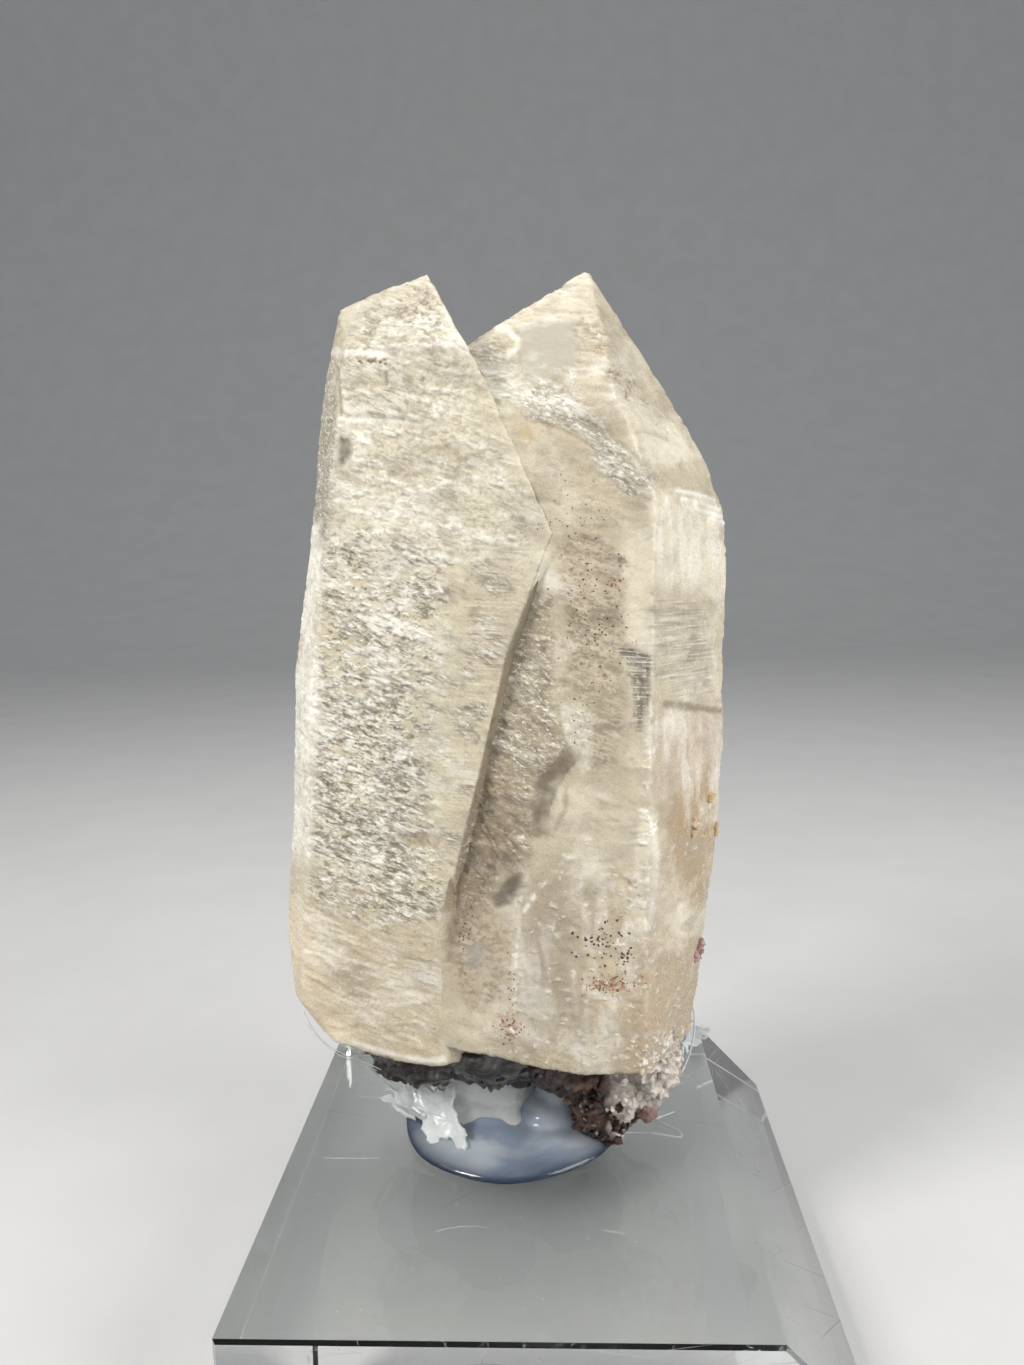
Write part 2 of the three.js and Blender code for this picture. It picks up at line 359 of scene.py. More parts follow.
@dataclass(frozen=True)
class GlueFinish:
    """Hot-melt glue: hazy, a little blue, glossy where it flowed and frosted where it tore, with painted shade that
    darkens it towards the foot below a set height.
    """

    name: str
    thin: Colour
    thick: Colour
    roughness: float
    transmission: float
    depth: float = 0.1
    index: float = 1.48
    shade_top: float = 0.0
    # The colour of the painted shade at the foot.
    foot: Colour = (0.03, 0.05, 0.09)

    def make(self) -> bpy.types.Material:
        """Builds the material."""
        s = Shader(self.name)
        haze = s.noise((110, 110, 200), detail=3, rough=0.55, warp=0.4)
        ripple = s.noise((420, 420, 700), detail=3, warp=0.4)
        s.set(
            # Painted shade: darker towards the foot over the 1.6 mm below the shade top.
            Base_Color=s.mix(
                s.between(s.height(), self.shade_top, self.shade_top - 1.6 * MM),
                s.mix(s.between(haze, 0.36, 0.64), self.thick, self.thin),
                self.foot,
            ),
            Roughness=s.between(haze, 0.3, 0.7, self.roughness, self.roughness + 0.1),
            IOR=self.index,
            Transmission_Weight=self.transmission,
            Subsurface_Weight=0.3,
            Subsurface_Radius=(1.0, 1.0, 1.0),
            Subsurface_Scale=1.5 * MM,
            Normal=s.bump(ripple, self.depth),
        )
        return s.material


@dataclass(frozen=True)
class AcrylicFinish:
    """Clear polished acrylic, with hair-fine scratches and a faint haze of handling."""

    tint: Colour = (0.96, 0.985, 0.98)
    roughness: float = 0.015
    index: float = 1.49
    scratches: tuple[float, ...] = (14, 57, 98, 139, 171)

    def make(self) -> bpy.types.Material:
        """Builds the material."""
        s = Shader("clear acrylic")
        haze = s.noise((60, 60, 60), detail=4, warp=0.5)
        lines = [s.between(s.noise((26, 2400, 400), (0, 0, turn), detail=1), 0.74, 0.8) for turn in self.scratches]
        worn = s.plus(*lines)
        s.set(
            Base_Color=self.tint,
            Roughness=s.plus(s.between(haze, 0.5, 0.75, self.roughness, self.roughness + 0.04), s.times(worn, 0.2)),
            IOR=self.index,
            Transmission_Weight=1.0,
            Normal=s.bump(worn, 0.01),
        )
        return s.material


@dataclass(frozen=True)
class PlainFinish:
    """A matt or satin material with a fine grain: specks, dust, fibres and the studio's sweep."""

    name: str
    colour: Colour
    second: Colour
    roughness: float
    per_metre: float = 900.0

    def make(self) -> bpy.types.Material:
        """Builds the material."""
        s = Shader(self.name)
        grain = s.noise((self.per_metre,) * 3, detail=3)
        s.set(
            Base_Color=s.mix(s.between(grain, 0.35, 0.65), self.colour, self.second),
            Roughness=s.between(grain, 0.3, 0.7, self.roughness, self.roughness + 0.1),
        )
        return s.material


# Meshes


def adopt(
    name: str, mesh: bpy.types.Mesh, finish: bpy.types.Material, stands_for: str = ""
) -> bpy.types.Object:
    """Puts a finished mesh in the scene as a piece of the specimen.

    Args:
        name: The piece's name.
        mesh: Its mesh, in the row frame, in metres.
        finish: Its material.
        stands_for: The CAD node that it replaces, if it does.

    Returns:
        The new object.
    """
    mesh.materials.clear()
    mesh.materials.append(finish)
    piece = bpy.data.objects.new(name, mesh)
    bpy.context.scene.collection.objects.link(piece)
    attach(piece, BODY)
    if stands_for:
        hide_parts(stands_for)
    LOG.info("%s: %d faces", name, len(mesh.polygons))
    return piece


def mesh_of(bm: bmesh.types.BMesh, name: str, smooth_shaded: bool, scale: float = 1.0) -> bpy.types.Mesh:
    """Turns a bmesh into a mesh, and frees it.

    Args:
        bm: The bmesh.
        name: The mesh's name.
        smooth_shaded: True for smooth shading.
        scale: What its coordinates are multiplied by.

    Returns:
        The mesh.
    """
    mesh = bpy.data.meshes.new(name)
    bmesh.ops.scale(bm, vec=(scale,) * 3, verts=bm.verts)
    bm.to_mesh(mesh)
    bm.free()
    mesh.polygons.foreach_set("use_smooth", [smooth_shaded] * len(mesh.polygons))
    return mesh


def modified(mesh: bpy.types.Mesh, kind: str, **settings: object) -> bpy.types.Mesh:
    """A mesh after one modifier.

    Args:
        mesh: The mesh, which is used up.
        kind: The modifier's type.
        settings: Its properties.

    Returns:
        The new mesh.
    """
    holder = bpy.data.objects.new("holder", mesh)
    bpy.context.scene.collection.objects.link(holder)
    modifier = holder.modifiers.new(kind, kind)
    for name, value in settings.items():
        setattr(modifier, name, value)
    shown = holder.evaluated_get(bpy.context.evaluated_depsgraph_get())
    result = bpy.data.meshes.new_from_object(shown)
    bpy.data.objects.remove(holder)
    bpy.data.meshes.remove(mesh)
    return result


def cut_away(mesh: bpy.types.Mesh, tool: bpy.types.Mesh) -> bpy.types.Mesh:
    """Cuts a closed shape out of another.

    Args:
        mesh: The mesh that is cut, which is used up.
        tool: The shape that is cut out, which is used up.

    Returns:
        The new mesh.
    """
    cutter = bpy.data.objects.new("tool", tool)
    bpy.context.scene.collection.objects.link(cutter)
    result = modified(mesh, "BOOLEAN", operation="DIFFERENCE", solver="EXACT", object=cutter)
    bpy.data.objects.remove(cutter)
    bpy.data.meshes.remove(tool)
    return result


def gathered(meshes: Iterable[bpy.types.Mesh]) -> bmesh.types.BMesh:
    """Several meshes in one bmesh; they are used up."""
    bm = bmesh.new()
    for mesh in meshes:
        bm.from_mesh(mesh)
        bpy.data.meshes.remove(mesh)
    return bm


def places(mesh: bpy.types.Mesh) -> np.ndarray:
    """The vertices' places in millimetres, a row each."""
    flat = np.empty(len(mesh.vertices) * 3)
    mesh.vertices.foreach_get("co", flat)
    return flat.reshape(-1, 3) / MM


def move_to(mesh: bpy.types.Mesh, spots: np.ndarray) -> None:
    """Moves the vertices to these places, in millimetres."""
    mesh.vertices.foreach_set("co", (spots * MM).ravel())
    mesh.update()


def normals(mesh: bpy.types.Mesh) -> np.ndarray:
    """The vertices' normals, a row each."""
    flat = np.empty(len(mesh.vertices) * 3)
    mesh.vertex_normals.foreach_get("vector", flat)
    return flat.reshape(-1, 3)


def smooth(value: np.ndarray, low: float, high: float) -> np.ndarray:
    """A smooth step from 0 at low to 1 at high."""
    t = np.clip((value - low) / (high - low), 0.0, 1.0)
    return t * t * (3.0 - 2.0 * t)


def waves(
    spots: np.ndarray,
    size: Point,
    octaves: int = 3,
    turn: float = 0.0,
    start: float = 0.0,
    keep: float = 0.9,
    warp: float = 0.0,
) -> np.ndarray:
    """Fractal noise over many places.

    Args:
        spots: The places in millimetres, a row each.
        size: The size of its waves along x, y and z, in millimetres.
        octaves: How many finer layers it has.
        turn: The tilt of the waves about Y, in degrees.
        start: A shift that gives another pattern.
        keep: How fast the finer layers fade.
        warp: How far the waves are bent, in waves.

    Returns:
        One value a row, about -1 to 1.
    """
    c, s = math.cos(math.radians(turn)), math.sin(math.radians(turn))
    x, y, z = spots.T
    points = (np.stack([(x * c + z * s) / size[0], y / size[1], (z * c - x * s) / size[2]], 1) + start).tolist()
    if warp:
        bends = np.array([noise.noise_vector((p[0] * 0.5, p[1] * 0.5, p[2] * 0.5)) for p in points])
        points = (np.array(points) + bends * warp).tolist()
    return np.array([noise.fractal(p, keep, 2.0, octaves) for p in points])


@dataclass(frozen=True)
class Texture:
    """A pattern of marks, from 0 between them to 1 on them."""

    size: Point
    low: float = 0.05
    high: float = 0.35
    turn: float = 0.0
    octaves: int = 4
    patchy: float = 0.0
    kind: Kind = Kind.WAVES
    keep: float = 0.8
    warp: float = 0.0

    def values(self, spots: np.ndarray, start: float) -> np.ndarray:
        """The pattern at each place.

        Args:
            spots: The places in millimetres, a row each.
            start: A shift that gives another pattern.

        Returns:
            One value a row, from 0 to 1.
        """
        if self.kind is Kind.GRAINS:
            return self.grains(spots, start)
        value = waves(spots, self.size, self.octaves, self.turn, start, self.keep, self.warp)
        if self.patchy:
            value = value + self.patchy * waves(spots, (6.0, 6.0, 5.0), 2, self.turn, start + 7.0)
        if self.kind is Kind.LINES:
            value = 0.5 - np.abs((value * 3.0) % 1.0 - 0.5)
            return 1.0 - smooth(value, self.low, self.high)
        return smooth(value, self.low, self.high)

    def grains(self, spots: np.ndarray, start: float) -> np.ndarray:
        """Packed crystal grains with flat tops and sharp seams between them.

        Args:
            spots: The places in millimetres, a row each.
            start: A shift that gives another pattern.

        Returns:
            One value a row, from 0 to 1.
        """
        result = np.empty(len(spots))
        for i, p in enumerate((spots / self.size + start).tolist()):
            (near, second, _, _), centres = noise.voronoi(p)
            result[i] = (second - near) * 0.9 + 0.5 * noise.cell(centres[0])
        return smooth(result, self.low, self.high)


@dataclass(frozen=True)
class Region:
    """A patch of the front, as it is seen from the viewpoint, laid out on the front plane in x and z."""

    outline: Outline
    soft: float = 0.8
    ragged: float = 0.6
    width: float = 0.0

    def cover(self, flat: np.ndarray, spots: np.ndarray, facing: np.ndarray) -> np.ndarray:
        """How much the patch covers each place.

        Args:
            flat: The places on the front plane, as x and z.
            spots: The places themselves.
            facing: How much each place looks to the front, from 0 to 1.

        Returns:
            One value a row, from 0 to 1.
        """
        corners = np.array(self.outline)
        reach = self.soft + 1.5 * self.ragged + self.width
        boxed = np.all((flat > corners.min(0) - reach) & (flat < corners.max(0) + reach), axis=1)
        used = np.flatnonzero(boxed & (facing > 0.0))
        result = np.zeros(len(flat))
        if not len(used):
            return result
        x, z = flat[used].T
        ends = corners[1:] if self.width else np.vstack([corners[1:], corners[:1]])
        nearest = np.full(len(x), 1e9)
        inside = np.zeros(len(x), bool)
        for (ax, az), (bx, bz) in zip(corners, ends):
            ex, ez = bx - ax, bz - az
            t = np.clip(((x - ax) * ex + (z - az) * ez) / (ex * ex + ez * ez), 0.0, 1.0)
            nearest = np.minimum(nearest, np.hypot(x - ax - t * ex, z - az - t * ez))
            if ez:
                inside ^= ((az > z) != (bz > z)) & (x < ax + (z - az) * ex / ez)
        depth = self.width / 2 - nearest if self.width else np.where(inside, nearest, -nearest)
        if self.ragged:
            depth = depth + self.ragged * waves(spots[used], (2.0, 2.0, 2.0), 4, start=corners[0, 0])
        result[used] = smooth(depth, -self.soft, self.soft) * facing[used]
        return result


def stroke(*points: tuple[float, float], width: float = 0.4, soft: float = 0.25, ragged: float = 0.15) -> Region:
    """A line on the front through some points.

    Args:
        points: The points, as x and z on the front plane.
        width: Its width in millimetres.
        soft: How soft its sides are.
        ragged: How ragged they are.

    Returns:
        The region.
    """
    return Region(points, soft, ragged, width)


@dataclass(frozen=True)
class Mark:
    """One kind of mark: its colour, its relief, how it shines, its fine hair lines and sparkle, and where it lies."""

    colour: Colour
    strength: float
    texture: Texture | None = None
    regions: tuple[Region, ...] = ()
    lift: float = 0.0
    frost: float = 0.2
    clear: float = 0.0
    dull: float = 0.3
    hairs: float = 0.0
    sparkle: float = 0.0
    calm: float = 0.0


# Colours of the crystals, in linear light.
CREAM = (0.64, 0.57, 0.42)
PALE = (0.78, 0.73, 0.59)
WHITE = (0.95, 0.93, 0.85)
SHADE = (0.36, 0.31, 0.23)
UMBER = (0.23, 0.18, 0.12)
DARK = (0.11, 0.088, 0.06)
SMOKE = (0.25, 0.22, 0.17)
GREY = (0.46, 0.43, 0.36)
TAN = (0.44, 0.35, 0.22)
OLIVE = (0.45, 0.41, 0.29)
OCHRE = (0.60, 0.43, 0.20)
RUST = (0.36, 0.15, 0.08)
PINK = (0.60, 0.47, 0.37)
LILAC = (0.70, 0.66, 0.62)
BARK = (0.022, 0.013, 0.010)
MAROON = (0.060, 0.028, 0.020)


@dataclass(frozen=True)
class Face:
    """A flat crystal face: its outward normal's heading and lean in degrees, and a point on it."""

    heading: float
    lean: float
    point: Point

    def normal(self) -> Vector:
        """The outward normal."""
        flat = math.cos(math.radians(self.lean))
        heading = math.radians(self.heading)
        return Vector((math.cos(heading) * flat, math.sin(heading) * flat, math.sin(math.radians(self.lean))))

    def height(self, spots: np.ndarray) -> np.ndarray:
        """How far each place is above the face, in millimetres."""
        return (spots - self.point) @ np.array(self.normal())


def convex(faces: Sequence[Face]) -> bpy.types.Mesh:
    """The solid inside all the faces, cut from a block.

    Args:
        faces: The faces.

    Returns:
        The closed mesh, in metres.
    """
    bm = bmesh.new()
    bmesh.ops.create_cube(bm, size=400.0)
    for face in faces:
        cut = bmesh.ops.bisect_plane(
            bm,
            geom=bm.verts[:] + bm.edges[:] + bm.faces[:],
            dist=1e-4,
            plane_co=face.point,
            plane_no=face.normal(),
            clear_outer=True,
        )
        rim = [g for g in cut["geom_cut"] if isinstance(g, bmesh.types.BMEdge)]
        if rim:
            bmesh.ops.contextual_create(bm, geom=rim)
    bmesh.ops.recalc_face_normals(bm, faces=bm.faces)
    return mesh_of(bm, "block", False, MM)


def hull(points: Iterable[Sequence[float]]) -> bpy.types.Mesh:
    """The convex solid round some points.

    Args:
        points: The points in millimetres.

    Returns:
        The closed mesh, in metres.
    """
    bm = bmesh.new()
    for point in points:
        bm.verts.new(point)
    made = bmesh.ops.convex_hull(bm, input=bm.verts)
    inner = [g for g in made["geom_interior"] if isinstance(g, bmesh.types.BMVert)]
    bmesh.ops.delete(bm, geom=inner, context="VERTS")
    bmesh.ops.recalc_face_normals(bm, faces=bm.faces)
    return mesh_of(bm, "hull", False, MM)


@dataclass
class Rock:
    """A dense mesh that is marked with real relief, and painted with the colours of its marks."""

    name: str
    colour: Colour
    marks: tuple[Mark, ...]
    finish: QuartzFinish
    voxel: float
    most_faces: int

    def solid(self) -> bpy.types.Mesh:
        """The plain shape, in metres, before any relief."""
        raise NotImplementedError

    def wear(self, spots: np.ndarray) -> tuple[np.ndarray, np.ndarray]:
        """The height and whiteness that wear gives each place, where a kind of rock has any."""
        return np.zeros(len(spots)), np.zeros(len(spots))

    def build(self) -> bpy.types.Object:
        """Makes the piece and puts it in the scene."""
        mesh = modified(self.solid(), "REMESH", mode="VOXEL", voxel_size=self.voxel * MM)
        paints = self.carve(mesh)
        dense = places(mesh)
        share = self.most_faces / sum(len(p.vertices) - 2 for p in mesh.polygons)
        mesh = modified(mesh, "DECIMATE", ratio=min(1.0, share))
        mesh.polygons.foreach_set("use_smooth", [True] * len(mesh.polygons))
        self.paint(mesh, dense, paints)
        return adopt(self.name, mesh, self.finish.make(), "quartz_crystals")

    def carve(self, mesh: bpy.types.Mesh) -> dict[str, np.ndarray]:
        """Gives the dense mesh its relief.

        Args:
            mesh: The mesh.

        Returns:
            Three values of each vertex for each attribute: its tint, its gloss (frost, clearness and
            dullness) and its fine detail (hair lines and sparkle).
        """
        spots, out = places(mesh), normals(mesh)
        facing = smooth(-out[:, 1], 0.1, 0.35)
        reach = (FRONT - EYE[1]) / (spots[:, 1] - EYE[1])
        flat = np.stack([EYE[i] + (spots[:, i] - EYE[i]) * reach for i in (0, 2)], 1)
        tint = np.tile(self.colour, (len(spots), 1))
        gloss = np.tile((0.15, 0.1, 0.35), (len(spots), 1))
        fine = np.zeros((len(spots), 3))
        height, white = self.wear(spots)
        relief = np.zeros(len(spots))
        for number, mark in enumerate(self.marks):
            amount = np.ones(len(spots))
            if mark.regions:
                amount = np.max([region.cover(flat, spots, facing) for region in mark.regions], axis=0)
            used = np.flatnonzero(amount > 0.004)
            if mark.texture and len(used):
                amount[used] *= mark.texture.values(spots[used], 1.7 * number)
            relief += mark.lift * amount - relief * mark.calm * amount
            fine += (np.array((mark.hairs, mark.sparkle, 0.0)) - fine) * amount[:, None]
            tint += (np.array(mark.colour) - tint) * (amount * mark.strength)[:, None]
            gloss += (np.array((mark.frost, mark.clear, mark.dull)) - gloss) * (amount * 0.9)[:, None]
        tint += (np.array(WHITE) - tint) * white[:, None]
        move_to(mesh, spots + out * (height + relief)[:, None])
        return {"tint": tint, "gloss": gloss, "fine": fine}

    def paint(self, mesh: bpy.types.Mesh, dense: np.ndarray, paints: dict[str, np.ndarray]) -> None:
        """Paints the thinned mesh with the colours of the dense one.

        Args:
            mesh: The thinned mesh.
            dense: The dense mesh's places, in millimetres.
            paints: Its values, under the names of the attributes.
        """
        tree = KDTree(len(dense))
        for i, spot in enumerate(dense.tolist()):
            tree.insert(spot, i)
        tree.balance()
        nearest = [tree.find(spot)[1] for spot in places(mesh).tolist()]
        for name, values in paints.items():
            attribute = mesh.color_attributes.new(name, "FLOAT_COLOR", "POINT")
            attribute.data.foreach_set("color", np.column_stack([values[nearest], np.ones(len(nearest))]).ravel())


@dataclass
class Crystal(Rock):
    """One of the two big crystals, from its flat faces, with worn and chipped edges."""

    faces: tuple[Face, ...] = ()
    wear_size: float = 0.6
    chip_depth: float = 0.15
    chip_white: float = 0.2

    def bodies(self) -> list[tuple[Face, ...]]:
        """The faces of each of the convex solids that make the crystal."""
        return [self.faces]

    def solid(self) -> bpy.types.Mesh:
        """The crystal with sharp edges."""
        return mesh_of(gathered(convex(faces) for faces in self.bodies()), self.name, False)

    def wear(self, spots: np.ndarray) -> tuple[np.ndarray, np.ndarray]:
        """Rounds and chips the edges between the faces, and whitens them.

        Args:
            spots: The places in millimetres, a row each.

        Returns:
            The height of each place, and how white it is.
        """
        depth = np.full(len(spots), 1e9)
        closest = np.full(len(spots), 1e9)
        for faces in self.bodies():
            heights = np.array([face.height(spots) for face in faces])
            facing = np.array([face.normal() for face in faces])
            sines = np.sqrt(np.clip(1.0 - (facing @ facing.T) ** 2, 1e-6, None))
            top, on = heights.max(0), heights.argmax(0)
            others = np.arange(len(faces))[:, None] != on
            away = np.where(others, (top - heights) / sines[:, on], 1e9).min(0)
            here = np.abs(top) < closest
            closest[here] = np.abs(top)[here]
            depth[here] = away[here]
        near = depth < 2.5
        chips = np.zeros(len(spots))
        chips[near] = smooth(waves(spots[near], (4.5, 4.5, 6.0), 5, keep=0.6), 0.1, 0.6)
        edge = 1.0 - smooth(depth, 0.0, self.wear_size)
        broad = 1.0 - smooth(depth, 0.2, 1.6)
        return -0.08 * edge - self.chip_depth * broad * chips, self.chip_white * edge * chips


HAIRS = Texture((14, 14, 0.8), 0.05, 0.5, -2, 5)
CLOUDS = Texture((9, 9, 6), -0.15, 0.5, -8, 3, warp=0.4)
VEILS = Texture((2.2, 2.2, 11), -0.05, 0.4, 4, 4, warp=0.3)
DRIFTS = Texture((5, 5, 3.2), 0.0, 0.4, -16, 4, warp=0.7)
FLECKS = Texture((1.9, 1.9, 0.62), 0.08, 0.26, -16, 4, 0.8, keep=0.45, warp=0.5)
SPARKS = Texture((1.1, 1.1, 0.6), 0.08, 0.30, -12, 4, 0.3, keep=0.45, warp=0.4)
SLANTED = Texture((2.4, 2.4, 0.55), 0.08, 0.28, -26, 4, 0.8, keep=0.45, warp=0.5)
WISPS = Texture((4.2, 4.2, 1.0), 0.1, 0.5, -9, 5, 0.3, warp=0.4)
CONTOURS = Texture((7, 7, 3.4), 0.03, 0.12, -12, 3, kind=Kind.LINES)
STREAKS = Texture((6.5, 6.5, 0.6), 0.06, 0.42, -27, 5, 0.2)
SCRATCHES = Texture((3.0, 3.0, 0.42), 0.08, 0.45, -20, 4, 0.5, warp=0.5)
SPECKLE = Texture((0.7, 0.7, 0.5), 0.16, 0.36, -10, 3, 0.3, keep=0.5)
CHIPS = Texture((1.2, 1.2, 0.8), 0.04, 0.24, -35, 4, 0.2, keep=0.6, warp=0.4)
GLINTS = Texture((0.9, 0.9, 0.5), 0.12, 0.30, -30, 3, 0.3, keep=0.5)
# Painted glints: a few sparse white spots.
SPARSE_GLINTS = Texture((0.8, 0.8, 0.6), 0.52, 0.64, -30, 3, 0.2, keep=0.5)
SPLINTERS = Texture((2.6, 2.6, 0.8), 0.0, 0.3, -38, 4, 0.3, warp=0.4)
SWELLS = Texture((9, 9, 12), -0.4, 0.5, 0, 2)
MOTTLE = Texture((2.4, 2.4, 1.1), 0.1, 0.45, -10, 4, 0.3, warp=0.5)
SHADOWS = Texture((12, 12, 9), 0.0, 0.5, 10, 3)
CRACKLE = Texture((2.2, 2.2, 1.3), 0.02, 0.10, -20, 4, kind=Kind.LINES)
STRIAE = Texture((9, 9, 0.5), 0.0, 0.25, -4, 4, 0.3, keep=0.6)

# Patches of the left-hand crystal's front.
ETCHED = Region(
    ((-24, 88), (-9, 86), (-9.4, 80), (-10.4, 74), (-11.8, 67), (-12.6, 60), (-13, 54), (-15, 51), (-20, 52),
     (-25.8, 54), (-26, 62), (-24.4, 74)), 3.0, 3.0,
)
ETCHED_LOW = Region(
    ((-25.5, 72), (-15, 71), (-13, 60), (-13.4, 55), (-15.6, 51.4), (-20, 50.5), (-26, 55), (-26, 62)), 3.0, 3.0
)
LEFT_TOP = Region(
    ((-19.9, 110.8), (-14, 113.4), (-9.8, 114), (-5.6, 107), (1, 89), (-2, 85), (-24, 85), (-21.6, 99)), 2.5, 1.5
)
LEFT_TIP = Region(
    ((-17.6, 111), (-14, 113), (-9.8, 114.4), (-8, 110.6), (-9.6, 108.4), (-13, 110), (-17.5, 107.8)), 1.0, 1.0
)
CALM_BAND = Region(
    ((-0.6, 87), (-2.4, 80), (-3.6, 75), (-4.8, 70), (-6.1, 64.6), (-7.2, 60), (-8.2, 54.5), (-9.2, 51), (-11.8, 51),
     (-11.2, 56), (-10, 62), (-9.4, 68), (-7.8, 74), (-7, 80), (-5.6, 86)), 1.8, 2.2,
)
# Painted light: the narrow left face, painted near white where the light from the left falls on it.
LIT_LEFT_STRIP = Region(
    ((-24, 90), (-22.6, 90), (-23.4, 80), (-24, 70), (-25, 58), (-26, 52), (-30, 52), (-30, 70)), 0.9, 0.7
)
LEFT_FOOT = Region(
    ((-30, 52), (-20, 50), (-14, 48), (-10.6, 45), (-10.8, 28), (-17, 27), (-26, 32), (-30, 40)), 2.5, 1.2
)
FOOT_ETCH = Region(
    ((-25, 56), (-14, 55), (-10.4, 53), (-10.8, 46.6), (-14, 44.6), (-19, 45), (-25, 48.5)), 1.8, 2.0
)
FOOT_GLOW = Region(((-30, 48), (-27, 48), (-26, 41), (-24, 35), (-19, 30), (-26, 31), (-30, 39)), 1.8, 0.8)
TERRACE = Region(((-19.8, 107.3), (-13.1, 107), (-13, 100.8), (-19.6, 101)), 0.3, 0.2)
GREY_TRIANGLE = Region(((-20, 99), (-19.1, 98.6), (-18.9, 97.2), (-19.6, 95.8), (-20.4, 96)), 0.4, 0.3)
LEFT_SCALES = Region(
    ((-22.4, 108), (-20.5, 107.6), (-20.2, 101), (-20.6, 96), (-21.4, 90), (-22.6, 87), (-25, 87), (-24, 96)), 0.5, 0.5
)
COMB = Region(((-15, 43.4), (-10.9, 43), (-10.9, 36.8), (-13, 37), (-15.2, 38.4)), 0.7, 0.5)
SMUDGE = Region(((-15.6, 54.9), (-13, 55.2), (-10.8, 54.8), (-11.6, 53.7), (-14.4, 53.8)), 0.6, 0.5)
GREY_DRIFT = Region(((-9, 76), (-6.6, 80), (-7.4, 70), (-10.6, 64), (-12.4, 62), (-11, 70)), 1.6, 1.6)
SEAM = stroke((-9.6, 50), (-10.5, 44), (-10.6, 38), (-11, 27), width=2.2, soft=0.6, ragged=0.0)
STRIP_LOW = Region(((-5.6, 62), (-8.6, 52.6), (-10.8, 46), (-8, 46), (-4, 62)), 0.7, 0.3)
# Painted shade: the left crystal's side face beside the hollow, painted dark where it lies in shadow.
SHADED_SIDE_STRIP = Region(((2.5, 88.4), (-2.9, 75.5), (-9.5, 50), (-3, 50), (3, 75), (6, 88.4)), 0.15, 0.0)
# Painted highlight: the lit top of the upper ledge, drawn as a white line.
UPPER_LEDGE_HIGHLIGHT = stroke((-20.4, 107.7), (-17, 107.5), (-14.9, 107.2), width=0.7)
LEDGE_SHADE = stroke((-20, 106.8), (-17, 106.7), (-14.6, 106.5), width=0.8)
# Painted highlight: the lit top of the lower ledge, drawn as a white line.
LOWER_LEDGE_HIGHLIGHT = stroke((-19.6, 100.8), (-16, 100.6), (-12.8, 100.3), width=0.5)
TERRACE_LINES = (stroke((-19.7, 101.4), (-19.8, 103.5), (-19.7, 106), width=0.35), stroke((-14.7, 105.2), (-14.6, 104.2)))
TAN_LINES = (
    stroke((-17.6, 104.4), (-16, 104.1), (-14.9, 104.2), width=0.6, soft=0.5),
    stroke((-27, 38.6), (-25.6, 37.8), (-24, 36.6)),
    stroke((-23.6, 42.8), (-21.8, 41.6), (-19.6, 40.4)),
    stroke((-16.4, 37.2), (-14.6, 36.8), (-13, 36.4)),
    stroke((-11.2, 97), (-9.5, 97.6), (-8, 97.2), (-7.3, 96), (-7.4, 94.8), soft=0.4),
    stroke((-18.2, 31.7), (-17, 31.3), (-15.8, 30.5), width=0.5),
)
# Painted highlight: a white line along the foot's lower lip.
FOOT_LIP_HIGHLIGHT = stroke((-22, 30.4), (-19.5, 29.7), (-16.5, 28.8), (-13.4, 28.3), (-11.4, 28.3), width=0.6)

